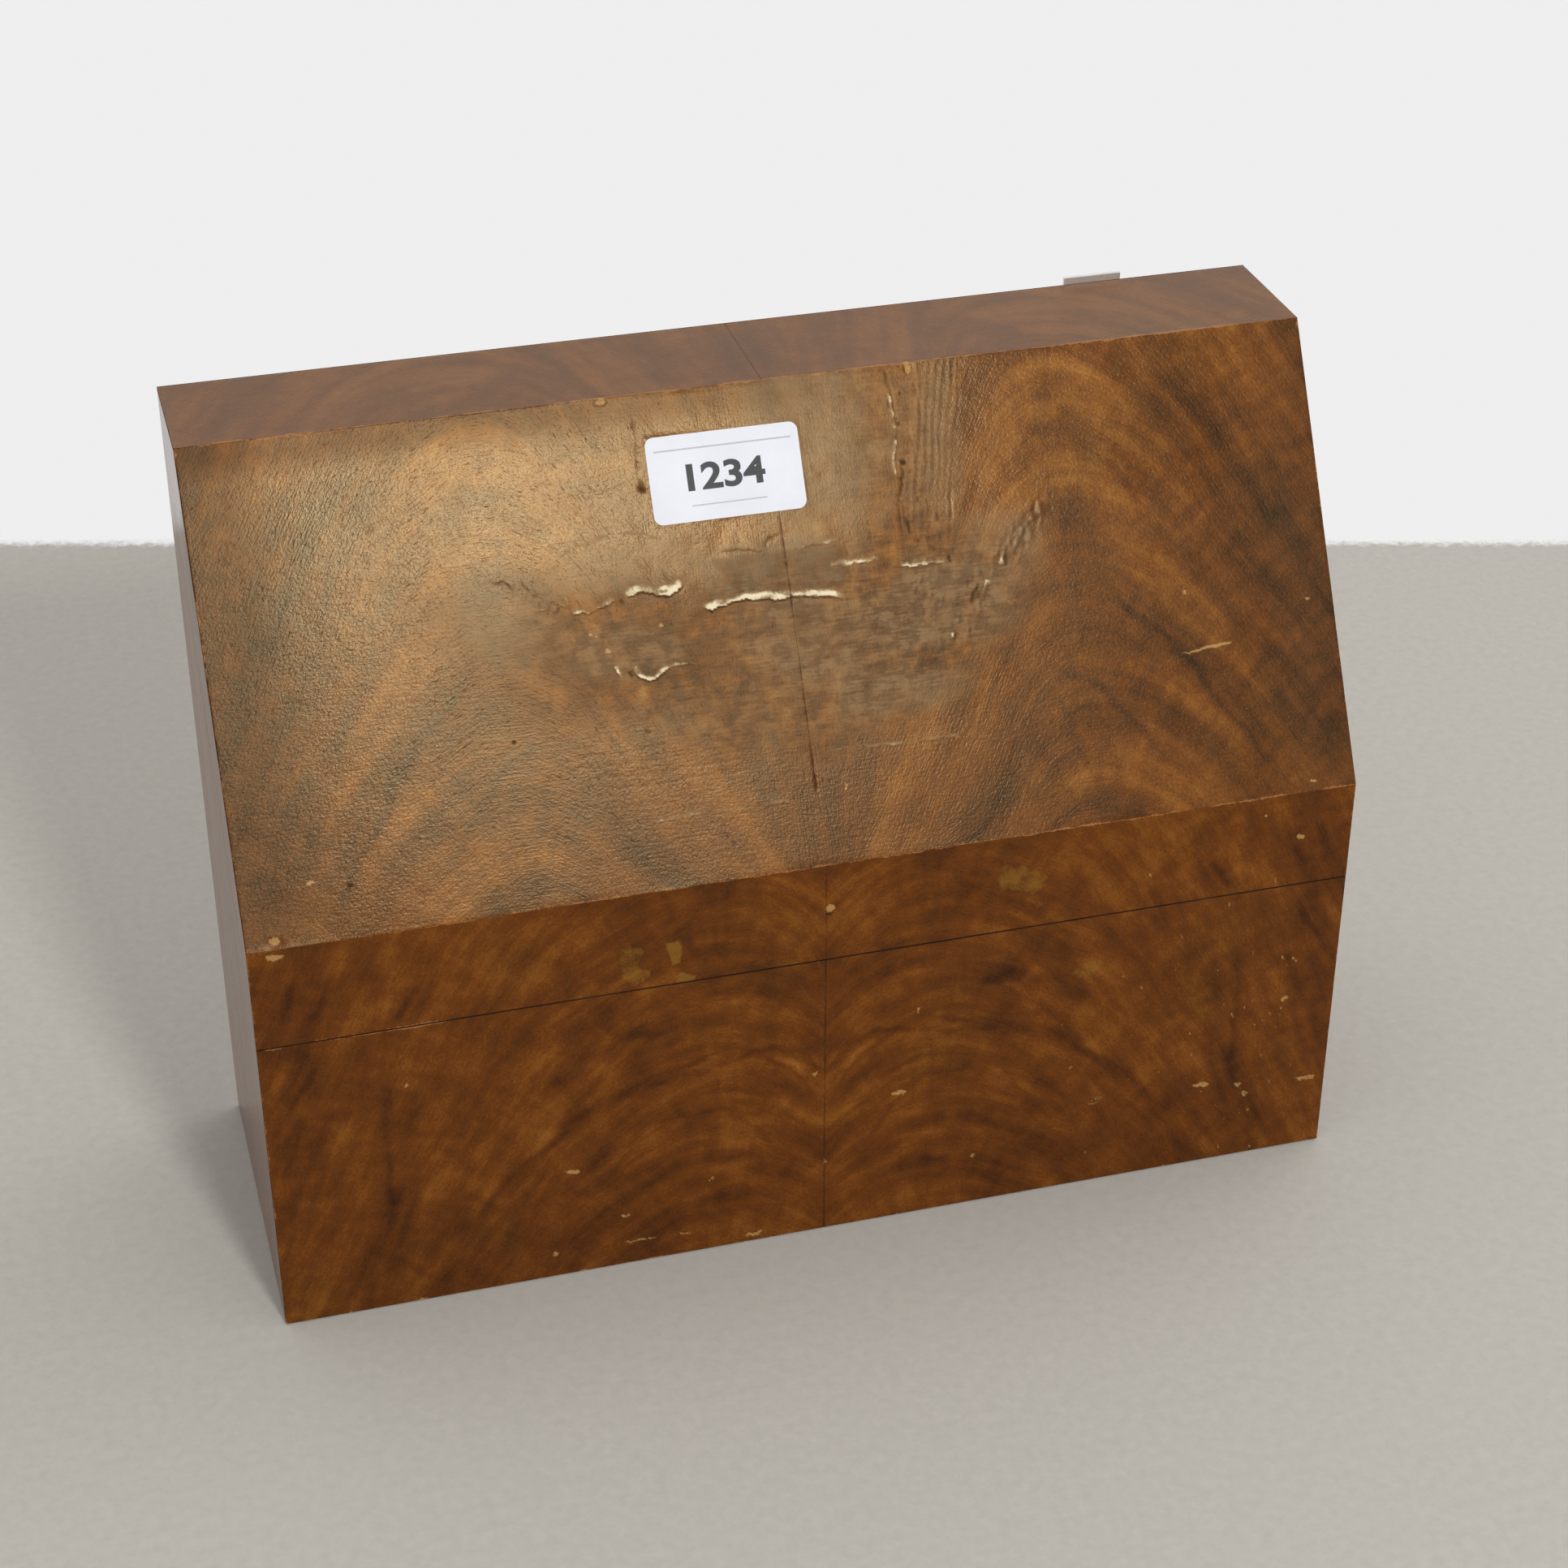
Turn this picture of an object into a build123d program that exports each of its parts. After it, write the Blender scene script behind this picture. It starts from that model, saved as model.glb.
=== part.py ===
from build123d import *
import math
import os

# Slope-front stationery box in veneered wood, with a hinged lid. Sizes are in millimetres.
# The origin is in the middle of the underside. +X is to the right, +Y to the back and +Z up.

# Outside of the closed box
box_width = 338.0
box_depth = 113.4
box_height = 260.8
joint_height = 103.0      # the front end of the saw cut between base and lid
fold_height = 136.8       # where the upright front turns into the slope
slope_setback = 70.8      # the top's front edge lies this far behind the front

# Boards and veneers
board = 8.0
bottom_board = 6.0
veneer = 0.9
veneer_wear = 0.4         # the veneers stop this far above the ground
seam_offset = 0.8         # the book-match seam lies this far right of the middle
lid_gap = 0.3             # between the sawn faces of base and lid

# Linings, dividers and partitions inside the base
lining = 3.0
lip_rise = 6.0            # how far the linings stand above the saw cut
lip_inset = 0.4           # the lip keeps this far inside the lid
lip_back_clearance = 4.0  # the side lips end this far in front of the back board
divider = 3.0
groove_depth = 1.5
groove_play = 0.1
back_row = 27.0           # depth of the rows of compartments, from the back
third_row = 22.0
second_row = 18.0
scoop_width = 70.0        # thumb scoops in the dividers' top edges
scoop_depth = 11.0
scoop_round = 5.0
partition = 3.0

# Hinges on the back
hinge_width = 18.4
hinge_from_end = 50.4     # from the box's end to the middle of the hinge
hinge_drop = 11.8         # the pin lies this far below the top
leaf = 1.2
knuckle_radius = 2.0
knuckle_clearance = 0.3
knuckle_gap = 0.3
pin_radius = 0.9
pin_play = 0.05
pin_overhang = 0.4
base_leaf_height = 16.0
left_leaf_height = 9.4
right_leaf_proud = 2.1    # the right hinge's longer leaf stands this far above the top

# Hinge screws
screw_spacing = 10.4
screw_length = 6.0
shank_radius = 0.9
head_radius = 1.8
screw_play = 0.05
slot_width = 0.5
slot_depth = 0.4
lid_screw_height = 4.6    # above the pin
base_screw_drop = 11.5    # below the pin

# Paper label on the slope
label_width = 45.7
label_height = 25.4
label_corner = 2.6
label_thickness = 0.15
label_left_of_middle = 13.5
label_below_edge = 25.6   # from the slope's top edge down to the label's middle

# Places that follow from the sizes
half_width = box_width / 2
front_y = -box_depth / 2
back_y = box_depth / 2
hinge_y = back_y + knuckle_radius + knuckle_clearance
hinge_z = box_height - hinge_drop
cut_slope = (hinge_z - joint_height) / (hinge_y - front_y)
inside_x = half_width - veneer - board
inside_front = front_y + veneer + board
inside_back = back_y - veneer - board
lining_x = inside_x - lining
hinge_x = half_width - hinge_from_end
from_foot = (Align.CENTER, Align.CENTER, Align.MIN)

slope_vector = Vector(0, slope_setback, box_height - fold_height).normalized()
slope_outward = Vector(0, -slope_vector.Z, slope_vector.Y)

# The saw cut is one plane. It rises from the joint line on the front and runs through the hinge pins.
cut_normal = Vector(0, -cut_slope, 1).normalized()
cut_plane = Plane(origin=(0, front_y, joint_height), x_dir=(1, 0, 0), z_dir=cut_normal)


def cut_z(y):
    return joint_height + (y - front_y) * cut_slope


def below_cut(solid):
    return split(solid, bisect_by=cut_plane, keep=Keep.BOTTOM)


def above_cut(solid):
    return split(solid, bisect_by=cut_plane.offset(lid_gap), keep=Keep.TOP)


def prism(points, x_from, x_to):
    # A side view in (y, z), carried across the box from x_from to x_to
    face = Plane.YZ.offset(x_from) * Polygon(*points, align=None)
    return extrude(face, amount=x_to - x_from, dir=(1, 0, 0))


def block(x_range, y_range, z_range):
    size = [high - low for low, high in (x_range, y_range, z_range)]
    corner = (x_range[0], y_range[0], z_range[0])
    return Pos(*corner) * Box(*size, align=(Align.MIN, Align.MIN, Align.MIN))


def rod(radius, x_from, x_to, y, z):
    return Pos(x_from, y, z) * Rot(0, 90, 0) * Cylinder(radius, x_to - x_from, align=from_foot)


# The side view's corners, at a depth below the outer faces
def side_view(depth, foot=0.0):
    inward = {
        "front": Vector(0, 1, 0),
        "slope": slope_outward * -1,
        "top": Vector(0, 0, -1),
        "back": Vector(0, -1, 0),
    }

    def corner(y, z, face_a, face_b):
        a = inward[face_a]
        b = inward[face_b]
        shift = (a + b) * (depth / (1 + a.dot(b)))
        return (y + shift.Y, z + shift.Z)

    return {
        "front_foot": (front_y + depth, foot),
        "fold": corner(front_y, fold_height, "front", "slope"),
        "top_front": corner(front_y + slope_setback, box_height, "slope", "top"),
        "top_back": corner(back_y, box_height, "top", "back"),
        "back_foot": (back_y - depth, foot),
    }


def layer(outside, inside, corner_a, corner_b):
    # One board or veneer of the side view, mitred at its corners
    return [outside[corner_a], outside[corner_b], inside[corner_b], inside[corner_a]]


parts = {}

# Carcass: boards between two cheeks, all sawn apart along the cut
core = side_view(veneer)
inside = side_view(veneer + board)

front_board = prism(layer(core, inside, "front_foot", "fold"), -inside_x, inside_x)
slope_board = prism(layer(core, inside, "fold", "top_front"), -inside_x, inside_x)
top_board = prism(layer(core, inside, "top_front", "top_back"), -inside_x, inside_x)
back_board = prism(layer(core, inside, "top_back", "back_foot"), -inside_x, inside_x)

parts["base_front_board"] = below_cut(front_board)
parts["base_back_board"] = below_cut(back_board)
parts["base_bottom_board"] = block((-inside_x, inside_x), (inside_front, inside_back), (0, bottom_board))
parts["lid_front_rail"] = above_cut(front_board)
parts["lid_slope_board"] = slope_board
parts["lid_top_board"] = top_board
parts["lid_back_rail"] = above_cut(back_board)

for side, x_from in (("left", veneer - half_width), ("right", inside_x)):
    cheek = prism(list(core.values()), x_from, x_from + board)
    parts[f"base_{side}_cheek"] = below_cut(cheek)
    parts[f"lid_{side}_cheek"] = above_cut(cheek)

# Veneers: the side leaves first, the others lapped over their edges, and book-matched at the seam
skin_outside = side_view(0, veneer_wear)
skin_inside = side_view(veneer, veneer_wear)
front_layer = layer(skin_outside, skin_inside, "front_foot", "fold")
slope_layer = layer(skin_outside, skin_inside, "fold", "top_front")
top_layer = layer(skin_outside, skin_inside, "top_front", "top_back")
back_layer = layer(skin_outside, skin_inside, "top_back", "back_foot")

for side, x_from, x_to in (("left", -half_width, seam_offset), ("right", seam_offset, half_width)):
    front_veneer = prism(front_layer, x_from, x_to)
    parts[f"base_front_veneer_{side}"] = below_cut(front_veneer)
    parts[f"lid_band_veneer_{side}"] = above_cut(front_veneer)
    parts[f"lid_slope_veneer_{side}"] = prism(slope_layer, x_from, x_to)
    parts[f"lid_top_veneer_{side}"] = prism(top_layer, x_from, x_to)

for side, x_from in (("left", -half_width), ("right", half_width - veneer)):
    side_veneer = prism(list(skin_inside.values()), x_from, x_from + veneer)
    parts[f"base_{side}_veneer"] = below_cut(side_veneer)
    parts[f"lid_{side}_veneer"] = above_cut(side_veneer)

back_veneer = prism(back_layer, -half_width, half_width)
parts["base_back_veneer"] = below_cut(back_veneer)
parts["lid_back_veneer"] = above_cut(back_veneer)

# Dividers, from the back to the front, with two thumb scoops in each top edge
divider_back_faces = {
    "divider_back": inside_back - back_row,
    "divider_middle": inside_back - back_row - divider - third_row,
    "divider_front": inside_back - back_row - 2 * divider - third_row - second_row,
}
divider_reach = lining_x + groove_depth - groove_play
scoop_radius = (scoop_width**2 / 4 + scoop_depth**2) / (2 * scoop_depth)

for name, back_face in divider_back_faces.items():
    top_z = cut_z(back_face - divider) + lip_rise
    outline = Pos(0, (bottom_board + top_z) / 2) * Rectangle(2 * divider_reach, top_z - bottom_board)
    for bay_x in (-lining_x / 2, lining_x / 2):
        outline -= Pos(bay_x, top_z + scoop_radius - scoop_depth) * Circle(scoop_radius)
    scoop_lips = [v for v in outline.vertices() if abs(v.Y - top_z) < 0.01 and abs(v.X) < lining_x]
    outline = fillet(scoop_lips, scoop_round)
    upright = Plane(origin=(0, back_face, 0), x_dir=(1, 0, 0), z_dir=(0, -1, 0))
    parts[name] = extrude(upright * outline, amount=divider, dir=(0, -1, 0))

# Centre partitions, one in each of the two rows between the dividers
partition_rows = {
    "partition_back": ("divider_back", "divider_middle"),
    "partition_front": ("divider_middle", "divider_front"),
}
for name, (behind, ahead) in partition_rows.items():
    y_back = divider_back_faces[behind] - divider
    y_front = divider_back_faces[ahead]
    rise = lip_rise - cut_slope * divider
    outline = [
        (y_front, bottom_board),
        (y_front, cut_z(y_front) + rise),
        (y_back, cut_z(y_back) + rise),
        (y_back, bottom_board),
    ]
    parts[name] = prism(outline, -partition / 2, partition / 2)

# Side linings, with a lip above the cut and a groove for each divider
lip_front = inside_front + lip_inset
lip_back = inside_back - lip_back_clearance
lining_outline = [
    (inside_front, bottom_board),
    (inside_front, cut_z(inside_front)),
    (inside_back, cut_z(inside_back)),
    (inside_back, bottom_board),
]
lip_outline = [
    (lip_front, cut_z(lip_front) - lip_rise),
    (lip_front, cut_z(lip_front) + lip_rise),
    (lip_back, cut_z(lip_back) + lip_rise),
    (lip_back, cut_z(lip_back) - lip_rise),
]
right_lining = prism(lining_outline, lining_x, inside_x) + prism(lip_outline, lining_x, inside_x - lip_inset)
for back_face in divider_back_faces.values():
    groove_y = (back_face - divider - groove_play, back_face + groove_play)
    right_lining -= block((lining_x, lining_x + groove_depth), groove_y, (bottom_board, box_height))
parts["right_lining"] = right_lining
parts["left_lining"] = mirror(right_lining, about=Plane.YZ)

# Front lining, between the side linings
front_lip_top = cut_z(inside_front + lining) + lip_rise
front_lining_outline = [
    (inside_front, bottom_board),
    (inside_front, cut_z(inside_front)),
    (lip_front, cut_z(lip_front)),
    (lip_front, front_lip_top),
    (inside_front + lining, front_lip_top),
    (inside_front + lining, bottom_board),
]
parts["front_lining"] = prism(front_lining_outline, -lining_x, lining_x)

# Hinges: two outer knuckles on the base leaf, one between them on the lid leaf
knuckle_length = (hinge_width - 2 * knuckle_gap) / 3
bore_radius = pin_radius + pin_play
notch = knuckle_radius + knuckle_gap
leaf_y = (back_y, back_y + leaf)
lid_leaf_heights = {"left": left_leaf_height, "right": hinge_drop + right_leaf_proud}
hinge_centres = {"left": -hinge_x, "right": hinge_x}


def screw(x, z):
    # Countersunk, slotted, driven towards the front with its head flush in the leaf
    neck = head_radius - shank_radius
    head = Cone(head_radius, shank_radius, neck, align=from_foot)
    shank = Cylinder(shank_radius, screw_length, align=from_foot)
    slot = Box(slot_width, 2 * head_radius, 2 * slot_depth)
    return Pos(x, back_y + leaf, z) * Rot(90, 0, 0) * (head + shank - slot)


def screw_hole(x, z):
    # The space that a screw takes up, with its play, from the leaf's outer face inwards
    mouth = head_radius + screw_play
    neck = head_radius - shank_radius
    sink = Cone(mouth, mouth - neck, neck, align=from_foot)
    drill = Cylinder(shank_radius + screw_play, screw_length, align=from_foot)
    return Pos(x, back_y + leaf, z) * Rot(90, 0, 0) * (sink + drill)


def leaf_plate(x, z_from, z_to):
    return block((x - hinge_width / 2, x + hinge_width / 2), leaf_y, (z_from, z_to))


screws = {"base": [], "lid": []}
for side, x in hinge_centres.items():
    left_end = x - hinge_width / 2
    right_end = x + hinge_width / 2
    outer_knuckles = ((left_end, left_end + knuckle_length), (right_end - knuckle_length, right_end))
    middle_knuckle = (left_end + knuckle_length + knuckle_gap, right_end - knuckle_length - knuckle_gap)
    bore = rod(bore_radius, left_end, right_end, hinge_y, hinge_z)

    base_leaf = leaf_plate(x, hinge_z - base_leaf_height, hinge_z)
    for x_from, x_to in outer_knuckles:
        base_leaf += rod(knuckle_radius, x_from, x_to, hinge_y, hinge_z)
    middle_space = (middle_knuckle[0] - knuckle_gap, middle_knuckle[1] + knuckle_gap)
    base_leaf -= block(middle_space, leaf_y, (hinge_z - notch, hinge_z))
    # Above the base's edge the leaf stands clear of the lid
    relief_y = (back_y, back_y + knuckle_clearance)
    base_leaf -= block((left_end, right_end), relief_y, (cut_z(back_y) - knuckle_clearance, hinge_z))

    lid_leaf = leaf_plate(x, hinge_z, hinge_z + lid_leaf_heights[side])
    for x_from, x_to in outer_knuckles:
        outer_space = (max(x_from - knuckle_gap, left_end), min(x_to + knuckle_gap, right_end))
        lid_leaf -= block(outer_space, leaf_y, (hinge_z, hinge_z + notch))
    lid_leaf += rod(knuckle_radius, *middle_knuckle, hinge_y, hinge_z)

    for screw_x in (x - screw_spacing / 2, x + screw_spacing / 2):
        base_place = (screw_x, hinge_z - base_screw_drop)
        lid_place = (screw_x, hinge_z + lid_screw_height)
        screws["base"].append(screw(*base_place))
        screws["lid"].append(screw(*lid_place))
        base_leaf -= screw_hole(*base_place)
        lid_leaf -= screw_hole(*lid_place)
        for node in ("base_back_veneer", "base_back_board"):
            parts[node] -= screw_hole(*base_place)
        for node in ("lid_back_veneer", "lid_back_rail"):
            parts[node] -= screw_hole(*lid_place)

    parts[f"hinge_{side}_base_leaf"] = base_leaf - bore
    parts[f"hinge_{side}_lid_leaf"] = lid_leaf - bore
    pin_ends = (left_end - pin_overhang, right_end + pin_overhang)
    parts[f"hinge_{side}_pin"] = rod(pin_radius, *pin_ends, hinge_y, hinge_z)

parts["hinge_base_screws"] = Compound(children=screws["base"])
parts["hinge_lid_screws"] = Compound(children=screws["lid"])

# Paper label, flat on the slope
slope_top = Vector(0, front_y + slope_setback, box_height)
label_middle = slope_top - slope_vector * label_below_edge + Vector(-label_left_of_middle, 0, 0)
label_plane = Plane(origin=label_middle, x_dir=(1, 0, 0), z_dir=slope_outward)
label_shape = RectangleRounded(label_width, label_height, label_corner)
parts["paper_label"] = extrude(label_plane * label_shape, amount=label_thickness)

os.makedirs("parts", exist_ok=True)
for name, solid in parts.items():
    solid.label = name
    export_step(solid, f"parts/{name}.step")

slope_angle = math.degrees(math.atan2(slope_setback, box_height - fold_height))
cut_angle = math.degrees(math.atan(cut_slope))
print(f"{len(parts)} nodes; hinge pins at y {hinge_y:.3f}, z {hinge_z:.3f}")
print(f"slope {slope_angle:.2f} degrees from upright; saw cut {cut_angle:.2f} degrees from level")
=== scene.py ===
import bmesh
import math
import bpy
import numpy as np
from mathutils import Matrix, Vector


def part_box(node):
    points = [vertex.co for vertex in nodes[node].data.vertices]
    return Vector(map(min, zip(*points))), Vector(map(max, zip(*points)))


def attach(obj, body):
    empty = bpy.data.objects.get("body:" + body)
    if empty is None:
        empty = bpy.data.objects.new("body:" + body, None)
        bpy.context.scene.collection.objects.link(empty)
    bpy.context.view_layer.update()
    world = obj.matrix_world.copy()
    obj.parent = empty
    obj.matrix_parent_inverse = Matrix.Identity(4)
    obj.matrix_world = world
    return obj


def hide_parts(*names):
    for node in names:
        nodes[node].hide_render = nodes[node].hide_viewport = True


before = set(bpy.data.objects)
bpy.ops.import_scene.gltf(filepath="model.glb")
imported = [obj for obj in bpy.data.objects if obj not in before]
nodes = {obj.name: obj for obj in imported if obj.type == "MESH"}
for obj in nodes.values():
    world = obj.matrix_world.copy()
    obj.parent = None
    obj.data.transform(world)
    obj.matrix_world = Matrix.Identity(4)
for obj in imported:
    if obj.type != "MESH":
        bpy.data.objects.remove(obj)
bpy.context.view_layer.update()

# Sizes below are in millimetres unless a note says otherwise. The meshes are made in metres.
mm = 0.001


def corners(node):
    low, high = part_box(node)
    return low / mm, high / mm


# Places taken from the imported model
topLow, topHigh = corners("lid_top_veneer_left")
bandLow, bandHigh = corners("lid_band_veneer_left")
baseLow, baseHigh = corners("base_front_veneer_left")
halfWidth = corners("lid_top_veneer_right")[1].x
seamX = topHigh.x                                   # where the book-matched leaves meet
veneer = topHigh.z - topLow.z
foldYz = (bandLow.y, bandHigh.z)                    # outer corners of the side view, as (y, z)
topFrontYz = (topLow.y, topHigh.z)
topBackYz = (topHigh.y, topHigh.z)
pinLow = corners("hinge_left_pin")[0]
sawRise = veneer * (pinLow.z - bandLow.z) / (pinLow.y - bandLow.y)
jointZ = baseHigh.z - sawRise                       # top edge of the base's front
foldTurn = math.degrees(math.atan2(topFrontYz[0] - foldYz[0], topFrontYz[1] - foldYz[1]))
topTurn = 90 - foldTurn
length = {
    "top": topBackYz[0] - topFrontYz[0],
    "slope": math.dist(topFrontYz, foldYz),
    "band": foldYz[1] - bandLow.z,
    "front": foldYz[1] - baseLow.z,
}


# Noise, distances and brush strokes, worked out for whole grids at once

def smoothStep(value, low, high):
    t = np.clip((value - low) / (high - low), 0, 1)
    return t * t * (3 - 2 * t)


def softNoise(x, y, size, seed):
    # Smooth noise from 0 to 1 whose bumps are about size across
    table = np.random.default_rng(seed).random((64, 64))
    x = np.asarray(x, float) / size + 512
    y = np.asarray(y, float) / size + 512
    column = np.floor(x).astype(int)
    row = np.floor(y).astype(int)
    fx = smoothStep(x - column, 0, 1)
    fy = smoothStep(y - row, 0, 1)

    def corner(right, down):
        return table[(row + down) % 64, (column + right) % 64]

    upper = corner(0, 0) * (1 - fx) + corner(1, 0) * fx
    lower = corner(0, 1) * (1 - fx) + corner(1, 1) * fx
    return upper * (1 - fy) + lower * fy


def roughNoise(x, y, size, seed):
    # Three octaves, about 0 on the average, mostly between -1 and 1
    total = 0
    for octave in range(3):
        total = total + (softNoise(x, y, size / 2**octave, seed + octave) * 2 - 1) * 0.6**octave
    return total


def uneven(x, v, *layers):
    # Rough noise added up from layers, each as (size, seed, height)
    return sum(roughNoise(x, v, size, seed) * height for size, seed, height in layers)


def wandered(x, v, first, second):
    # x and v, each moved by its own layers of rough noise
    return x + uneven(x, v, *first), v + uneven(x, v, *second)


def tapered(along, first, last, start=0.0):
    # From 0 at a line's two ends to 1 between them
    return smoothStep(along, start, first) * smoothStep(1 - along, start, last)


def nearLine(x, v, points):
    # Distance to a line through points, how far below it (positive is further down), and place along it
    best = np.full(x.shape, 1e9)
    below = np.zeros(x.shape)
    along = np.zeros(x.shape)
    lengths = [math.dist(a, b) for a, b in zip(points, points[1:])]
    total = sum(lengths)
    done = 0
    for (ax, av), (bx, bv), part in zip(points, points[1:], lengths):
        dx = (bx - ax) / part
        dv = (bv - av) / part
        t = np.clip((x - ax) * dx + (v - av) * dv, 0, part)
        gap = np.hypot(x - ax - t * dx, v - av - t * dv)
        side = (v - av) * dx - (x - ax) * dv
        closer = gap < best
        best = np.where(closer, gap, best)
        below = np.where(closer, side, below)
        along = np.where(closer, (done + t) / total, along)
        done += part
    signed = np.where(below >= 0, best, -best)
    return best, signed, along


def strokes(x, v, lines):
    # Soft brush strokes: each line is (width, strength, points)
    clear = np.ones(x.shape)
    for width, strength, points in lines:
        distance, _, along = nearLine(x, v, points)
        clear *= 1 - strength * tapered(along, 0.18, 0.18, -0.1) * np.exp(-(distance / width) ** 2)
    return 1 - clear


def spots(x, v, places):
    # Soft spots: each place is (x, v, half width, half height, strength)
    clear = np.ones(x.shape)
    for cx, cv, rx, rv, strength in places:
        reach = np.hypot((x - cx) / rx, (v - cv) / rv)
        clear *= 1 - strength * (1 - smoothStep(reach, 0.55, 1.15))
    return 1 - clear


def readGrid(grid, column, row):
    # The value at a place between a grid's points
    rows, columns = grid.shape
    column = np.clip(column, 0, columns - 1.001)
    row = np.clip(row, 0, rows - 1.001)
    left = column.astype(int)
    upper = row.astype(int)
    fx = column - left
    fy = row - upper
    first = grid[upper, left] * (1 - fx) + grid[upper, left + 1] * fx
    second = grid[upper + 1, left] * (1 - fx) + grid[upper + 1, left + 1] * fx
    return first * (1 - fy) + second * fy


def smeared(source, turn, steps):
    # Averages source along the directions in turn, angles from the rows, which makes streaks that follow them
    rows, columns = source.shape
    startRow, startColumn = np.meshgrid(np.arange(rows), np.arange(columns), indexing="ij")
    total = source.copy()
    for way in (1, -1):
        column = startColumn.astype(float)
        row = startRow.astype(float)
        for i in range(1, steps + 1):
            angle = readGrid(turn, column, row)
            column = column + way * np.cos(angle)
            row = row + way * np.sin(angle)
            total = total + (0.5 + 0.5 * math.cos(math.pi * i / (steps + 1))) * readGrid(source, column, row)
    return (total - total.mean()) / total.std()


# Small words for shader nodes

def feed(tree, socket, value):
    if isinstance(value, bpy.types.NodeSocket):
        tree.links.new(value, socket)
    else:
        socket.default_value = value


def put(tree, kind, inputs=None, **settings):
    node = tree.nodes.new(kind)
    for name, value in settings.items():
        setattr(node, name, value)
    for key, value in (inputs or {}).items():
        feed(tree, node.inputs[key], value)
    return node


def calc(tree, operation, *values, clamp=False):
    node = put(tree, "ShaderNodeMath", dict(enumerate(values)), operation=operation, use_clamp=clamp)
    return node.outputs[0]


def times(tree, first, second):
    return calc(tree, "MULTIPLY", first, second)


def weigh(tree, start, *terms):
    # start plus each term: a value as it is, (noise, weight) round 0.5, or (value, weight, middle)
    full = [(*term, 0.5)[:3] if isinstance(term, tuple) else (term, 1.0, 0.0) for term in terms]
    total = start - sum(weight * middle for _, weight, middle in full)
    for value, weight, _ in full:
        total = calc(tree, "MULTIPLY_ADD", value, weight, total)
    return total


def spread(tree, value, fromLow, fromHigh, toLow=0.0, toHigh=1.0):
    inputs = {0: value, 1: fromLow, 2: fromHigh, 3: toLow, 4: toHigh}
    return put(tree, "ShaderNodeMapRange", inputs, interpolation_type="SMOOTHSTEP").outputs[0]


def noise(tree, vector, repeats, offset=0.0, detail=2.0, rough=0.5, distort=0.0):
    # repeats: how many bumps per unit of the vector, on each of its axes
    inputs = {0: vector, 1: repeats, 2: (offset, offset, offset)}
    scaled = put(tree, "ShaderNodeVectorMath", inputs, operation="MULTIPLY_ADD").outputs[0]
    inputs = {"Vector": scaled, "Scale": 1.0, "Detail": detail, "Roughness": rough, "Distortion": distort}
    return put(tree, "ShaderNodeTexNoise", inputs).outputs[0]


def tint(tree, factor, under, over, mode="MIX"):
    # under and over are colours or sockets
    under, over = ((*colour, 1) if isinstance(colour, tuple) else colour for colour in (under, over))
    inputs = {0: factor, 6: under, 7: over}
    return put(tree, "ShaderNodeMix", inputs, data_type="RGBA", blend_type=mode).outputs[2]


def colourRamp(tree, value, stops):
    node = put(tree, "ShaderNodeValToRGB", {0: value})
    steps = node.color_ramp.elements
    steps.remove(steps[1])
    steps[0].position = stops[0][0]
    steps[0].color = (*stops[0][1], 1)
    for place, colour in stops[1:]:
        steps.new(place).color = (*colour, 1)
    return node.outputs[0]


def attribute(tree, name):
    # The stored vector and its three parts
    read = put(tree, "ShaderNodeAttribute", attribute_name=name).outputs["Vector"]
    return read, put(tree, "ShaderNodeSeparateXYZ", {0: read}).outputs


def objectPoint(tree):
    return put(tree, "ShaderNodeTexCoord").outputs["Object"]


def newMaterial(name):
    material = bpy.data.materials.new(name)
    material.use_nodes = True
    tree = material.node_tree
    tree.nodes.clear()
    shader = put(tree, "ShaderNodeBsdfPrincipled")
    put(tree, "ShaderNodeOutputMaterial", {0: shader.outputs[0]})
    return material, tree, shader


def bump(tree, shader, height, depth):
    # height from 0 to 1 stands for a relief of depth millimetres
    node = put(tree, "ShaderNodeBump", {"Distance": depth * mm, "Height": height})
    tree.links.new(node.outputs[0], shader.inputs["Normal"])


def plug(tree, shader, **sockets):
    names = {"colour": "Base Color", "roughness": "Roughness", "metal": "Metallic",
             "specular": "Specular IOR Level", "sheen": "Specular Tint"}
    for key, value in sockets.items():
        feed(tree, shader.inputs[names[key]], value)


def newObject(name, data):
    thing = bpy.data.objects.new(name, data)
    bpy.context.scene.collection.objects.link(thing)
    return thing


def takenMesh(holder):
    # The finished mesh of a helper object, which then goes
    mesh = bpy.data.meshes.new_from_object(holder.evaluated_get(bpy.context.evaluated_depsgraph_get()))
    bpy.data.objects.remove(holder)
    return mesh


# Linear colours of the figured mahogany, from its darkest streaks to its palest fibres, and of what is on it
mahogany = [(0.0, (0.026, 0.0080, 0.0028)), (0.25, (0.064, 0.0185, 0.0042)), (0.5, (0.120, 0.0340, 0.0052)),
            (0.75, (0.205, 0.0680, 0.0095)), (1.0, (0.310, 0.1450, 0.0320))]
soiled = {
    "olive": (0.82, 0.98, 0.98),
    "pore": (0.026, 0.009, 0.004),
    "dust": (0.250, 0.126, 0.042),
    "greyDust": (0.176, 0.118, 0.064),
    "shade": (0.055, 0.027, 0.014),
    "stain": (0.215, 0.105, 0.016),
    "bare": (0.36, 0.155, 0.052),
    "nick": (0.46, 0.27, 0.095),
    # torn wood colour, also painted on rib crests and on wrinkles' lit sides as a highlight
    "tornAndLit": (0.33, 0.225, 0.11),
    "fresh": (0.72, 0.62, 0.43),
    # grime colour, also used as painted shade under broken edges, in rib furrows and on wrinkles' shaded
    # sides
    "grimeAndShade": (0.022, 0.011, 0.006),
}

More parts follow.
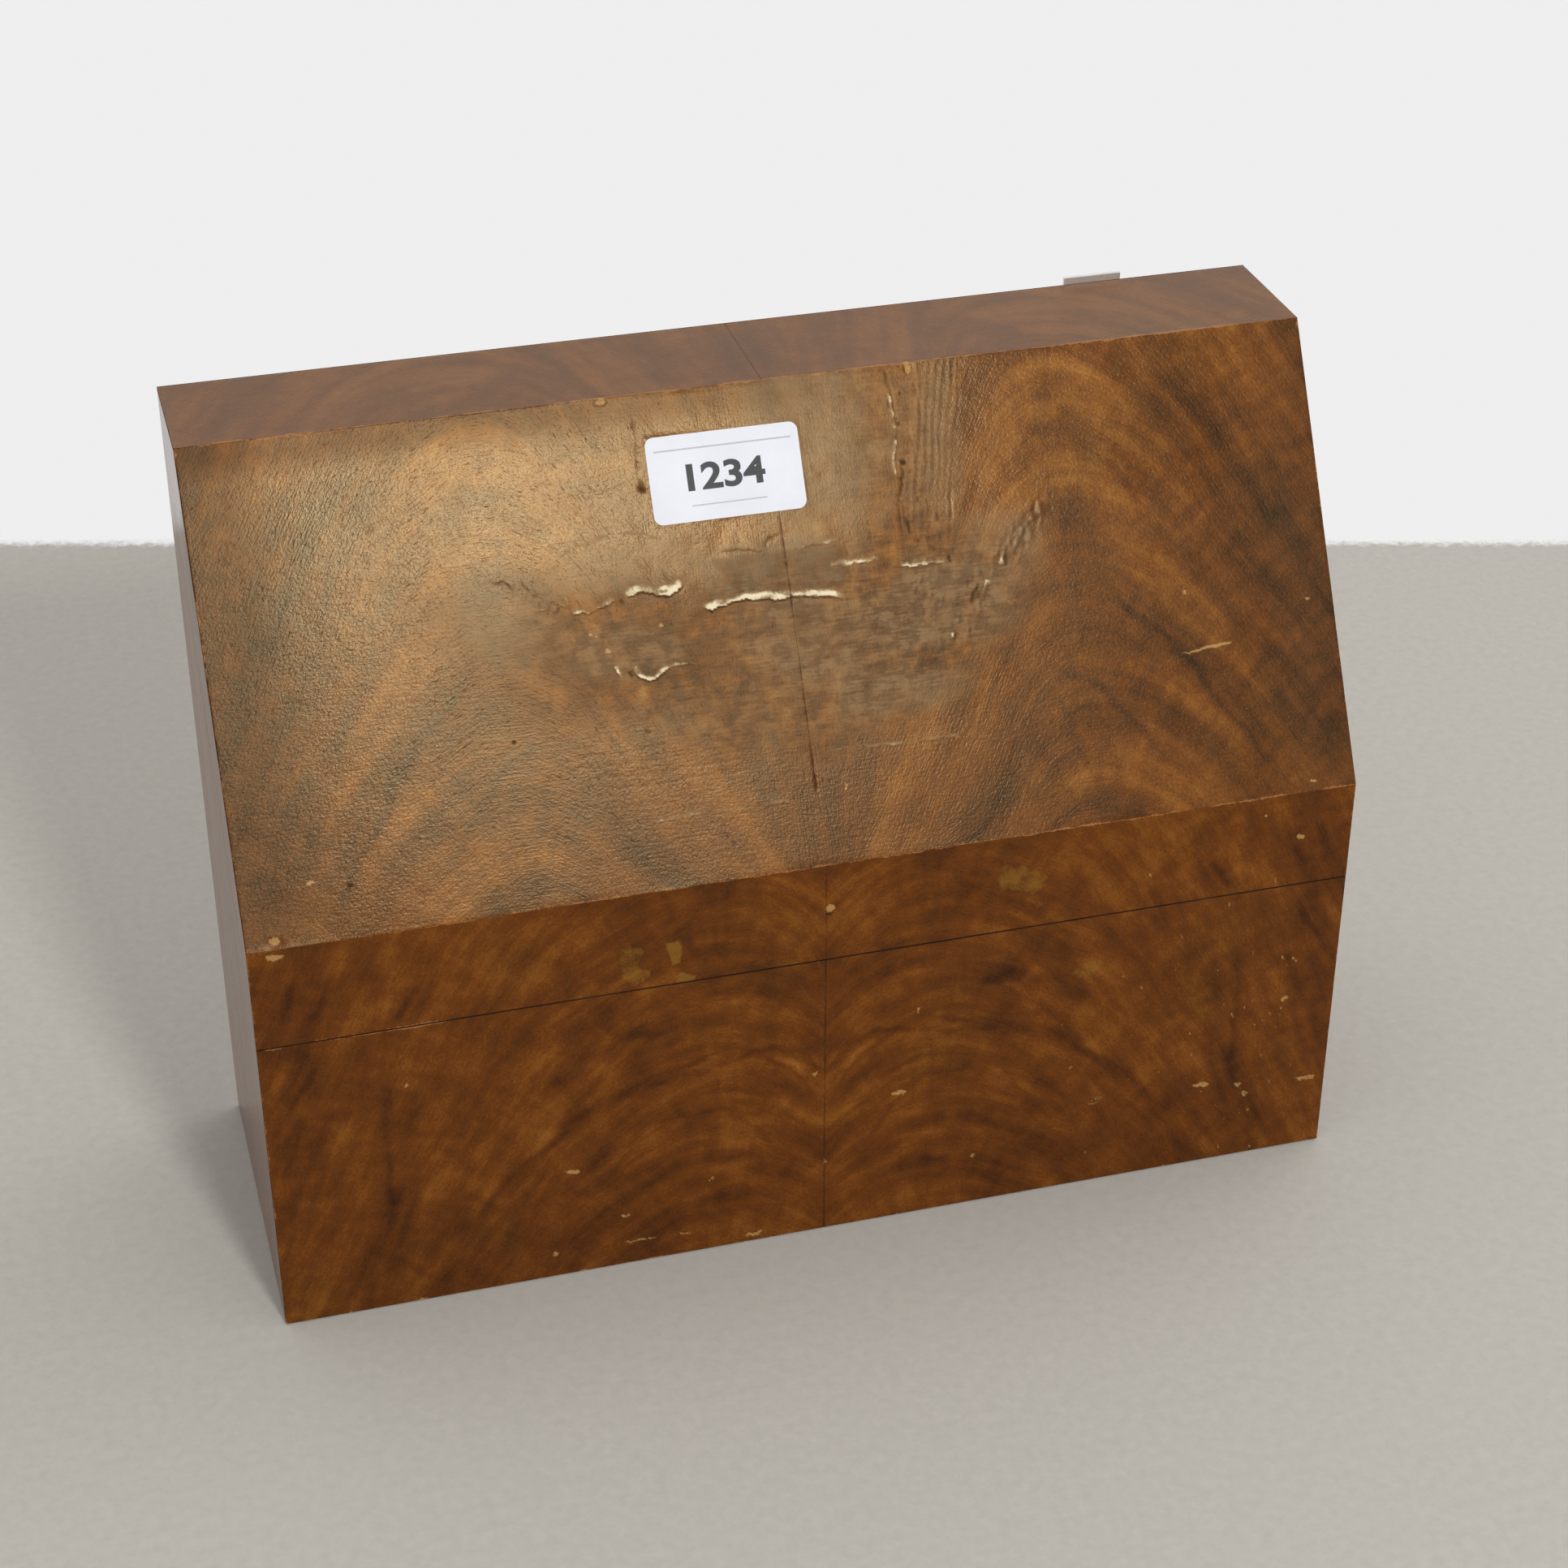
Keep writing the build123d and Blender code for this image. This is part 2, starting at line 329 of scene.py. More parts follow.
figured = {
    "fibres": (0.50, 5.0, 0.22),       # width, length and weight
    "pores": (0.30, 2.6, 0.34),
    "mottle": (15.0, 0.20),            # size and weight of cloudy patches
    "blotch": (4.5, 0.16),
    "speck": (0.9, 0.42),
    "specular": 0.27,
    "sheen": (1.0, 0.78, 0.43, 1.0),
    "roughness": 0.245,
    "relief": 0.09,
    "turns": 6,                        # ways that the fine fibres can run, evenly spread
}


def grainNoise(tree, plane, turned, width, size, seed):
    # Fine noise stretched along the grain, blended from a few fixed directions by the leaf's own direction
    total = 0.0
    for step, (angle, share) in enumerate(turned):
        inputs = {"Vector": plane, "Angle": -angle}
        lined = put(tree, "ShaderNodeVectorRotate", inputs, rotation_type="Z_AXIS").outputs[0]
        fine = noise(tree, lined, (1 / size, 1 / width, 1), seed + step * 3.7, 1.0)
        total = calc(tree, "MULTIPLY_ADD", calc(tree, "SUBTRACT", fine, 0.5), share, total)
    return total


def figuredVeneer(name, look):
    # The leaf's attributes hold its figure, its grain direction and its damage, with painted highlight and
    # painted shade beside the damage. The fine detail is made here
    material, tree, shader = newMaterial(name)
    point = objectPoint(tree)
    plane = attribute(tree, "plane")[0]
    figure, harm, cover, marks = (attribute(tree, key)[1] for key in ("figure", "harm", "cover", "marks"))

    def grain(kind, offset):
        return grainNoise(tree, plane, turned, *look[kind][:2], offset)

    def patches(kind, offset, detail, rough):
        return noise(tree, point, (1000 / look[kind][0],) * 3, offset, detail, rough)

    turned = []
    for step in range(look["turns"]):
        angle = math.pi * step / look["turns"]
        sideways = times(tree, figure[2], math.sin(2 * angle))
        toward = calc(tree, "MULTIPLY_ADD", figure[1], math.cos(2 * angle), sideways, clamp=True)
        turned.append((angle, calc(tree, "POWER", toward, 3.0)))
    fibre = grain("fibres", 3.0)
    pores = spread(tree, grain("pores", 41.0), 0.16, 0.30)
    cloud = patches("mottle", 5.0, 3.0, 0.6)
    blotch = patches("blotch", 9.0, 2.0, 0.6)
    speck = patches("speck", 2.0, 2.0, 0.7)
    flat = noise(tree, point, (120, 260, 260), 19.0, 3.0, 0.6)
    lined = noise(tree, point, (170, 1300, 1300), 23.0, 2.0, 0.6)
    broken = harm[2]
    mottled = times(tree, broken, weigh(tree, 0.03, (flat, 0.9), (blotch, 0.6), (lined, 0.5)))
    tone = weigh(tree, 0.0, figure[0], (fibre, look["fibres"][2], 0.0), (cloud, look["mottle"][1]),
                 (blotch, look["blotch"][1]), (speck, look["speck"][1]), mottled)
    olive = spread(tree, noise(tree, point, (28, 28, 28), 31.0, 2.0), 0.50, 0.72)

    # Bloomed, dusty polish round the damage, in blotches
    clouded = weigh(tree, 0.0, (cloud, 1.8), (flat, 2.2), (speck, 1.4), (lined, 1.2))
    patchy = calc(tree, "MULTIPLY_ADD", clouded, weigh(tree, 0.30, (broken, 0.70, 0.0)), 1.0)
    haze = calc(tree, "MULTIPLY", cover[0], patchy, clamp=True)
    dust = tint(tree, cover[1], soiled["dust"], soiled["greyDust"])
    shaded = times(tree, spread(tree, weigh(tree, 0.0, blotch, (lined, 0.5)), 0.58, 0.40), broken)
    dust = tint(tree, times(tree, shaded, 0.55), dust, soiled["shade"])

    # Oily stains, then worn arrises and nicks down to bare wood, then torn edges with painted highlights on
    # ribs and wrinkles, then dark cracks and grime with painted shade under broken edges, in rib furrows and
    # on wrinkles' shaded sides
    stain = spread(tree, weigh(tree, 0.0, marks[0], (speck, 0.6), (blotch, 0.9)), 0.20, 0.90)
    wear = spread(tree, weigh(tree, 0.0, marks[2], (speck, 1.2), (blotch, 0.8)), 0.5, 0.85)
    nick = spread(tree, weigh(tree, 0.0, marks[1], (speck, 0.9)), 0.30, 0.70)
    tornAndLit = spread(tree, weigh(tree, 0.0, harm[0], (speck, 0.35)), 0.10, 0.80)
    newly = spread(tree, weigh(tree, 0.0, harm[0], (speck, 0.8)), 0.40, 0.95)
    grimeAndShade = spread(tree, harm[1], 0.10, 0.95)
    clean = colourRamp(tree, tone, mahogany)
    colour = tint(tree, times(tree, olive, 0.4), clean, soiled["olive"], "MULTIPLY")
    layers = [(times(tree, pores, look["pores"][2]), soiled["pore"]), (haze, dust),
              (times(tree, stain, 0.60), soiled["stain"]), (times(tree, wear, 0.62), soiled["bare"]),
              (times(tree, nick, 0.62), soiled["nick"]),
              (tornAndLit, tint(tree, newly, soiled["tornAndLit"], soiled["fresh"])),
              (times(tree, grimeAndShade, 0.86), soiled["grimeAndShade"])]
    for mask, over in layers:
        colour = tint(tree, mask, colour, over)

    rough = weigh(tree, look["roughness"], cover[2], (speck, 0.06), (cloud, 0.06),
                  (pores, 0.10, 0.0), (tornAndLit, 0.35, 0.0), (grimeAndShade, 0.35, 0.0))
    height = weigh(tree, 0.5, (speck, 0.60), (fibre, 0.35, 0.0), (pores, -0.30, 0.0), (lined, 0.30))
    bump(tree, shader, height, look["relief"])
    plug(tree, shader, colour=colour, roughness=rough, specular=look["specular"], sheen=look["sheen"])
    return material


def plainWood(name, grain, look):
    # Straight-grained wood. grain names the axis that the fibres run along: x, y or z
    material, tree, shader = newMaterial(name)
    point = objectPoint(tree)
    place = "xyz".index(grain)

    def stretched(width, size):
        repeats = [1000 / width] * 3
        repeats[place] = 1000 / size
        return tuple(repeats)

    rings = noise(tree, point, stretched(look["rings"], 260), 1.0, 2.0, 0.5, 0.35)
    streak = noise(tree, point, stretched(1.5, 60), 4.0, 3.0, 0.6)
    fibre = noise(tree, point, stretched(0.35, 7), 9.0, 1.0)
    cloud = noise(tree, point, (38, 38, 38), 6.0, 3.0, 0.6)
    contrast = look.get("contrast", 1.0)
    tone = weigh(tree, 0.5, (rings, 1.3 * contrast), (streak, 0.8 * contrast), (fibre, 0.45), (cloud, 0.5))
    colour = colourRamp(tree, tone, look["stops"])
    pore = spread(tree, noise(tree, point, stretched(0.4, 3.5), 13.0, 1.0), 0.62, 0.72)
    colour = tint(tree, times(tree, pore, 0.4), colour, look["pore"])
    varied = look["roughness"] * 0.5
    rough = weigh(tree, look["roughness"], (streak, varied), (cloud, varied), (pore, varied, 0.0))
    height = weigh(tree, 0.5, (fibre, 0.5), (streak, 0.5), (pore, -0.4, 0.0))
    bump(tree, shader, height, look["relief"])
    plug(tree, shader, colour=colour, roughness=rough, specular=look.get("specular", 0.5))
    return material


sideLook = {
    "rings": 14.0,
    "contrast": 0.55,
    "roughness": 0.20,
    "specular": 0.62,
    "relief": 0.012,
    "pore": (0.03, 0.010, 0.004),
    "stops": [(0.2, (0.050, 0.015, 0.005)), (0.5, (0.135, 0.040, 0.009)), (0.8, (0.26, 0.085, 0.018))],
}
carcassLook = {
    "rings": 5.0,
    "roughness": 0.72,
    "relief": 0.12,
    "pore": (0.10, 0.05, 0.025),
    "stops": [(0.2, (0.20, 0.105, 0.048)), (0.5, (0.34, 0.20, 0.10)), (0.8, (0.46, 0.30, 0.165))],
}
interiorLook = {
    "rings": 7.0,
    "roughness": 0.45,
    "relief": 0.05,
    "pore": (0.05, 0.018, 0.008),
    "stops": [(0.2, (0.115, 0.038, 0.013)), (0.5, (0.22, 0.082, 0.028)), (0.8, (0.33, 0.14, 0.052))],
}
edgeLook = {
    "rings": 4.0,
    "roughness": 0.9,
    "specular": 0.04,
    "relief": 0.05,
    "pore": (0.010, 0.005, 0.003),
    "stops": [(0.2, (0.014, 0.006, 0.003)), (0.5, (0.028, 0.012, 0.006)), (0.8, (0.050, 0.023, 0.011))],
}

steelLook = {
    "worn": (0.7224, 0.7138, 0.688),
    "colour": (0.84, 0.83, 0.80),
    "stain": (0.36, 0.30, 0.23),
    "roughness": 0.38,
    "metal": 0.80,
    "relief": 0.02,
}


def dulledSteel(name, look):
    material, tree, shader = newMaterial(name)
    point = objectPoint(tree)
    brushed = noise(tree, point, (250, 3000, 3000), 3.0, 2.0, 0.6)
    patch = noise(tree, point, (260, 260, 260), 1.0, 4.0, 0.65)
    speck = noise(tree, point, (1900, 1900, 1900), 8.0, 2.0)
    dirt = spread(tree, weigh(tree, 0.0, patch, (speck, 0.35)), 0.56, 0.76)
    bare = tint(tree, brushed, look["worn"], look["colour"])
    colour = tint(tree, times(tree, dirt, 0.7), bare, look["stain"])
    rough = weigh(tree, look["roughness"], (brushed, 0.25), (dirt, 0.25, 0.0), (speck, 0.1))
    bump(tree, shader, weigh(tree, 0.5, (brushed, 0.6), (patch, 0.4)), look["relief"])
    plug(tree, shader, colour=colour, roughness=rough, metal=look["metal"])
    return material


paperLook = {
    "shade": (0.63, 0.64, 0.68),
    "white": (0.72, 0.73, 0.77),
    "roughness": 0.62,
    "specular": 0.2,
    "relief": 0.012,
}


def labelPaper(name, look):
    material, tree, shader = newMaterial(name)
    point = objectPoint(tree)
    pulp = noise(tree, point, (700, 700, 700), 2.0, 3.0, 0.6)
    cloud = noise(tree, point, (60, 60, 60), 5.0, 2.0)
    colour = tint(tree, weigh(tree, 0.5, (pulp, 0.5), (cloud, 1.2)), look["shade"], look["white"])
    bump(tree, shader, pulp, look["relief"])
    rough = weigh(tree, look["roughness"], (pulp, 0.2))
    plug(tree, shader, colour=colour, roughness=rough, specular=look["specular"])
    return material


def printedInk(name, dark):
    material, tree, shader = newMaterial(name)
    grain = noise(tree, objectPoint(tree), (2600, 2600, 2600), 1.0, 2.0)
    colour = tint(tree, grain, (dark, dark, dark * 1.05), (dark * 1.7, dark * 1.7, dark * 1.8))
    plug(tree, shader, colour=colour, roughness=weigh(tree, 0.5, (grain, 0.2)))
    return material


slopeWood = figuredVeneer("slopeMahogany", figured)
frontWood = figuredVeneer("frontMahogany", {**figured, "specular": 0.16, "roughness": 0.42,
                                            "mottle": (12.0, 0.24), "blotch": (4.2, 0.15)})
veneerEdge = plainWood("veneerEdge", "x", edgeLook)
sideWood = plainWood("sideMahogany", "z", sideLook)
carcassAlongX = plainWood("carcassAlongX", "x", carcassLook)
carcassAlongZ = plainWood("carcassAlongZ", "z", carcassLook)
interiorAlongX = plainWood("interiorAlongX", "x", interiorLook)
interiorAlongY = plainWood("interiorAlongY", "y", interiorLook)
hingeSteel = dulledSteel("hingeSteel", steelLook)
paper = labelPaper("labelPaper", paperLook)
blackInk = printedInk("blackInk", 0.012)
greyInk = printedInk("greyInk", 0.30)
print("finishes made")


def faceFrame(start, end, startTurn, endTurn, startShift=None, endShift=None):
    # A flat outer face of the side view, from start down to end. Turns are the bends at its arrises
    (y0, z0), (y1, z1) = start, end
    reach = math.dist(start, end)
    down = Vector((0, (y1 - y0) / reach, (z1 - z0) / reach))
    shifts = [veneer * math.tan(math.radians(turn) / 2) if given is None else given
              for turn, given in ((startTurn, startShift), (endTurn, endShift))]
    return {"start": Vector((0, y0, z0)), "down": down, "out": Vector((0, down.z, -down.y)),
            "length": reach, "shifts": shifts}


def arrisSteps(radius, turn, count=4):
    # Distances from the corner and drops below the face, round half of an arris
    half = math.radians(turn) / 2
    angles = [half * (1 - i / count) for i in range(count)]
    return [(radius * (math.tan(half) - math.sin(angle)), radius * (1 - math.cos(angle))) for angle in angles]


def gridLines(low, high, fineFrom, fineTo, fine, coarse, ends=((), ())):
    # Places from low to high, close together between fineFrom and fineTo, with the arris steps at the ends
    free = [end[-1][0] + 0.12 if end else 0 for end in ends]
    firstFree = low + free[0]
    lastFree = high - free[1]
    places = [(low + d, drop) for d, drop in ends[0]]
    fineEnds = [min(max(place, firstFree), lastFree) for place in (fineFrom, fineTo)]
    stops = sorted({firstFree, *fineEnds, lastFree})
    for a, b in zip(stops, stops[1:]):
        step = fine if a >= fineFrom - 1e-6 and b <= fineTo + 1e-6 else coarse
        count = max(1, round((b - a) / step))
        places += [(a + (b - a) * i / count, 0.0) for i in range(count)]
    places.append((lastFree, 0.0))
    places += [(high - d, drop) for d, drop in reversed(ends[1])]
    return np.array(places)


def rimOf(grid):
    return np.concatenate([grid[0, :], grid[1:, -1], grid[-1, -2::-1], grid[-2:0:-1, 0]])


def quadsOf(grid):
    parts = (grid[:-1, :-1], grid[1:, :-1], grid[1:, 1:], grid[:-1, 1:])
    return np.stack([part.ravel() for part in parts], 1)


def wallsOf(ring, low):
    return np.stack([ring, np.roll(ring, -1), np.roll(low, -1), low], 1)


def closedSlab(name, top, under, fields, materials):
    # A closed shell from a grid of outer points and one ring of inner points under its rim
    nRows, nColumns = top.shape[:2]
    grid = np.arange(nRows * nColumns).reshape(nRows, nColumns)
    ring = rimOf(grid)
    points = np.concatenate([top.reshape(-1, 3), under]) * mm
    quads = quadsOf(grid)
    low = nRows * nColumns + np.arange(len(ring))
    walls = wallsOf(ring, low)
    faces = quads.tolist() + walls.tolist() + [low.tolist()]
    mesh = bpy.data.meshes.new(name)
    mesh.from_pydata(points.tolist(), [], faces)
    for key, values in fields.items():
        flat = np.stack([np.broadcast_to(part, (nRows, nColumns)).ravel() for part in values], 1)
        flat = np.concatenate([flat, flat[ring]]).astype(np.float32)
        mesh.attributes.new(key, "FLOAT_VECTOR", "POINT").data.foreach_set("vector", flat.ravel())
    for material in materials:
        mesh.materials.append(material)
    smooth = np.zeros(len(faces), bool)
    smooth[:len(quads)] = True
    mesh.polygons.foreach_set("use_smooth", smooth)
    mesh.polygons.foreach_set("material_index", (~smooth).astype(np.int32) * (len(materials) - 1))
    onRim = np.zeros(len(points), bool)
    onRim[ring] = True
    ends = np.empty(len(mesh.edges) * 2, np.int32)
    mesh.edges.foreach_get("vertices", ends)
    mesh.edges.foreach_set("use_edge_sharp", onRim[ends].reshape(-1, 2).all(1))
    outside = np.cross(top[1, 0] - top[0, 0], top[0, 1] - top[0, 0])
    if np.dot(outside, top[0, 0] - under[0]) < 0:
        mesh.flip_normals()
    mesh.update()
    return newObject(name, mesh)


def makeLeaf(name, face, side, rows, columns, shape, materials, seamGap=None):
    # shape(x, v) gives the relief and the named fields that the material reads
    drops = rows[:, 1][:, None] + columns[:, 1][None, :]
    v, x = np.meshgrid(rows[:, 0], columns[:, 0], indexing="ij")
    relief, fields = shape(x, v)
    height = relief - drops
    placeX = x.copy()
    if seamGap is not None:
        nearSeam = np.clip(1 - np.abs(x - seamX) / 1.5, 0, 1)
        placeX += (1 if side == "right" else -1) * seamGap(v) * nearSeam
    start, down, out = (np.array(face[key]) for key in ("start", "down", "out"))
    top = start + v[..., None] * down + height[..., None] * out
    top[..., 0] = placeX
    flatV = rimOf(v)
    startShift, endShift = face["shifts"]
    share = flatV / face["length"]
    flatV = flatV + startShift * (1 - share) - endShift * share
    under = start + flatV[:, None] * down - veneer * out
    under[:, 0] = rimOf(placeX)
    return closedSlab(name, top, under, fields, materials)


# The slope's and the top's figure. A fan of grain rises from a point on the seam, and outside it the grain
# goes up, over and down again like a fountain. Both leaves are cut from one flitch and mirrored.
fountain = {
    "fanHeight": 122.8,       # the fan starts this far down the slope
    "fanReach": 41.0,         # how slowly the fan opens
    "crest": 85.6,            # from the seam to the crest of the arcs
    "steepness": 333.0,
    "fanEdge": (40.0, 60.0),  # where the fan gives way to the arcs
}


def fountainTurn(u, v):
    # The grain's direction at u from the seam and v below the slope's top arris
    w = fountain["fanHeight"] - v
    outward = np.maximum(u, 0)
    fan = np.arctan2(-(np.maximum(w, -25) + fountain["fanReach"]), outward * 0.8 + 0.01)
    arc = -np.arctan(fountain["steepness"] * (1 / np.maximum(outward, 20) - 1 / fountain["crest"]))
    inFan = 1 - smoothStep(outward + roughNoise(u, v, 20, 43) * 6, *fountain["fanEdge"])
    return arc + (fan - arc) * inFan + uneven(u, v, (34, 41, 0.12), (9, 47, 0.06))


def featherTurn(u, v):
    # The front's grain leaves the seam upwards, bends over and runs down to the sides
    outward = np.maximum(u, 0)
    fall = 0.011 * outward + (outward / 146) ** 3 - 1.3 * np.exp(-outward / 25)
    return np.arctan(np.minimum(fall, 2.5)) + uneven(u, v, (30, 141, 0.12), (9, 147, 0.07))


slopeStreaks = {
    # kinds of streak: (noise size, smeared length, weight). Cross runs across the grain
    "fine": (1.3, 18.0, 0.040),
    "middle": (2.7, 26.0, 0.050),
    "broad": (6.0, 38.0, 0.055),
    "cross": (1.9, 4.5, 0.030),
    "step": 0.8,
    "margin": 3.0,
}
frontStreaks = {
    **slopeStreaks,
    "fine": (1.2, 8.0, 0.036),
    "middle": (2.8, 12.0, 0.042),
    "broad": (7.0, 20.0, 0.044),
    "cross": (1.9, 4.5, 0.034),
}


def cutFlitch(turnOf, vLow, vHigh, seed, look):
    # Streaks on a plain grid: u from the seam outwards, v downwards
    step = look["step"]
    v, u = np.meshgrid(np.arange(vLow - look["margin"], vHigh + look["margin"], step),
                       np.arange(-look["margin"], halfWidth + look["margin"], step), indexing="ij")
    turn = turnOf(u, v)
    made = {"turn": turn, "low": (-look["margin"], vLow - look["margin"]), "look": look}
    for place, kind in enumerate(("fine", "middle", "broad", "cross")):
        size, reach, _ = look[kind]
        source = softNoise(u, v, size, seed + place * 5)
        source += 0.6 * softNoise(u, v, size * 1.9, seed + place * 5 + 1)
        made[kind] = smeared(source, turn + (math.pi / 2 if kind == "cross" else 0), round(reach / step))
    return made


slopeFlitch = cutFlitch(fountainTurn, -length["top"], length["slope"], 201, slopeStreaks)
frontFlitch = cutFlitch(featherTurn, 0, length["front"], 231, frontStreaks)
print("figure cut")


def figureFields(flitch, x, v, lists, crossed):
    # tone from 0 to 1, and the grain's direction, on a leaf's own grid
    u = np.abs(x - seamX)
    look = flitch["look"]
    column = (u - flitch["low"][0]) / look["step"]
    row = (v - flitch["low"][1]) / look["step"]
    bent = wandered(u, v, [(15, 241, 1.5), (4, 245, 0.45)], [(15, 251, 1.5), (4, 255, 0.45)])
    faded = 0.55 + 0.9 * softNoise(u, v, 10, 261)
    tone = 0.5 - 0.33 * faded * strokes(*bent, lists["dark"])
    tone += 0.24 * (1.55 - faded) * strokes(*bent, lists["pale"])
    for kind, share in (("fine", 1.0), ("middle", 1.0), ("broad", 1.0), ("cross", crossed)):
        tone += look[kind][2] * share * readGrid(flitch[kind], column, row)
    turn = readGrid(flitch["turn"], column, row) * np.where(x > seamX, 1, -1)
    return (tone, np.cos(2 * turn), np.sin(2 * turn))


slopeStrokes = {
    # (half width, strength, points as distance from the seam and distance below the top arris)
    "dark": [
        (1.1, 0.75, [(127.5, 40.6), (132, 48), (138, 58), (144.4, 68.7)]),
        (3.0, 0.50, [(109.5, 11.3), (123, 29.3), (131, 44), (140, 60), (150, 78)]),
        (2.6, 0.50, [(116, 2), (130, 22.5), (145.6, 45), (159, 72), (166, 90)]),
        (1.7, 0.65, [(92.6, 68.7), (100.5, 77.7), (109.5, 88), (118.5, 97), (127.5, 112.7), (138.8, 128.4),
                     (145.6, 139.7)]),
        (2.2, 0.40, [(62, 4.5), (73.5, 9), (84.7, 13.5), (96, 24.8), (105, 33.8), (116, 49.6), (125, 65),
                     (133, 83), (141, 99), (150, 122), (157, 135)]),
        (6.0, 0.40, [(84, 40), (88, 52), (92, 62)]),
        (12.0, 0.38, [(120, 8), (134, 30), (147, 52), (160, 80)]),
        (12.0, 0.70, [(167, -8), (168, 30), (169, 70), (172, 110)]),
        (9.0, 0.35, [(150, 88), (158, 112), (163, 141)]),
        (5.0, 0.40, [(32, 84), (42, 93), (48, 104)]),
        (4.5, 0.35, [(13, 66), (16, 82), (22, 93)]),
        (1.5, 0.40, [(66, 34), (78, 24), (92, 26), (103, 40), (116, 60)]),
        (3.5, 0.35, [(56, 100), (66, 110), (72, 124), (70, 141)]),
        (1.2, 0.45, [(76, 92), (88, 100), (100, 113), (112, 130)]),
        (5.0, 0.35, [(8, 133), (24, 131), (40, 134), (60, 131), (84, 136)]),
        (1.6, 0.35, [(58, 78), (50, 92), (44, 106)]),
        (2.0, 0.30, [(72, 72), (64, 88), (56, 104)]),
    ],
    "pale": [
        (1.3, 0.80, [(1.8, 121), (4.5, 106), (7.5, 92), (10, 82)]),
        (2.6, 0.55, [(15, 104), (21, 92), (25, 82)]),
        (3.0, 0.45, [(26, 111), (30, 100), (34, 88)]),
        (1.3, 0.50, [(17, 108), (22, 92), (25, 72), (28, 46), (27, 36)]),
        (9.0, 0.50, [(57, 56), (63, 28), (79, 15), (96, 22), (110, 42)]),
        (3.5, 0.45, [(74, 16), (80, 30), (80, 44)]),
        (8.0, 0.40, [(70, 75), (84, 90), (100, 108), (113, 128)]),
        (4.0, 0.45, [(97, 55), (108, 66), (118, 78)]),
        (10.0, 0.30, [(8, 136), (30, 133), (55, 130)]),
        (5.0, 0.35, [(122, 100), (136, 118), (148, 138)]),
    ],
}

frontStrokes = {
    # distances below the fold
    "dark": [
        (1.5, 0.55, [(0, 75), (8, 66), (18, 62), (28, 65.3), (44, 67.6), (55, 68.7), (71, 74.4), (87, 85.6),
                     (98, 99)]),
        (1.2, 0.50, [(30, 59.7), (44, 64), (57, 67.5), (68, 72), (82, 81), (95, 92), (114, 113)]),
        (1.6, 0.45, [(48, 50), (63, 49), (72, 55), (84, 66)]),
        (1.2, 0.40, [(2, 84), (9, 74), (18, 66), (30, 63)]),
        (1.3, 0.40, [(12, 105), (22, 92), (34, 83), (46, 84), (58, 90), (70, 100)]),
        (3.0, 0.40, [(25, 99), (40, 103), (58, 102), (80, 104)]),
        (1.5, 0.40, [(20, 117), (30, 113), (38, 117), (22, 130)]),
        (1.6, 0.50, [(132, 54), (134, 68), (136, 90), (138, 106)]),
        (1.4, 0.50, [(154, 41), (161, 56), (166, 68)]),
        (1.4, 0.40, [(150, 18), (154, 29)]),
        (1.2, 0.40, [(123, 20), (129, 31)]),
        (2.2, 0.40, [(40, 8), (46, 16), (38, 26)]),
        (2.5, 0.35, [(35, 22), (28, 31), (14, 31)]),
        (4.0, 0.30, [(157, 30), (160, 60), (165, 90)]),
        (8.0, 0.32, [(106, 108), (116, 122), (122, 136)]),
        (9.0, 0.30, [(30, 115), (52, 122), (70, 128), (85, 136)]),
        (5.0, 0.28, [(60, 42), (85, 46), (104, 60), (118, 80)]),
        (6.0, 0.30, [(6, 42), (16, 38), (30, 41)]),
        (12.0, 0.34, [(160, 4), (163, 20), (166, 40)]),
        (10.0, 0.28, [(134, 100), (146, 116), (158, 132)]),
    ],
    "pale": [
        (9.0, 0.40, [(94, 72), (101, 92), (112, 112), (122, 134)]),
        (2.6, 0.45, [(118, 68), (124, 56), (128, 46)]),
        (3.0, 0.45, [(100, 92), (108, 80), (112, 72)]),
        (2.6, 0.45, [(96, 128), (102, 118), (106, 108)]),
        (6.0, 0.38, [(44, 92), (56, 96), (64, 104)]),
        (9.0, 0.40, [(68, 16), (88, 22), (110, 24)]),
        (4.0, 0.40, [(28, 46), (34, 47), (44, 50)]),
        (8.0, 0.28, [(12, 10), (20, 22)]),
        (0.8, 0.45, [(3, 80), (10, 70), (20, 62), (29, 57)]),
        (0.8, 0.35, [(5, 76), (13, 66), (24, 60)]),
        (0.8, 0.35, [(5, 95), (14, 82), (26, 75), (40, 73)]),
        (0.9, 0.32, [(4, 110), (13, 96), (26, 88), (40, 84)]),
        (0.9, 0.30, [(6, 122), (16, 106), (30, 96), (44, 92)]),
        (8.0, 0.25, [(146, 60), (150, 90), (156, 120)]),
        (3.0, 0.28, [(22, 132), (30, 122), (42, 116)]),
    ],
}

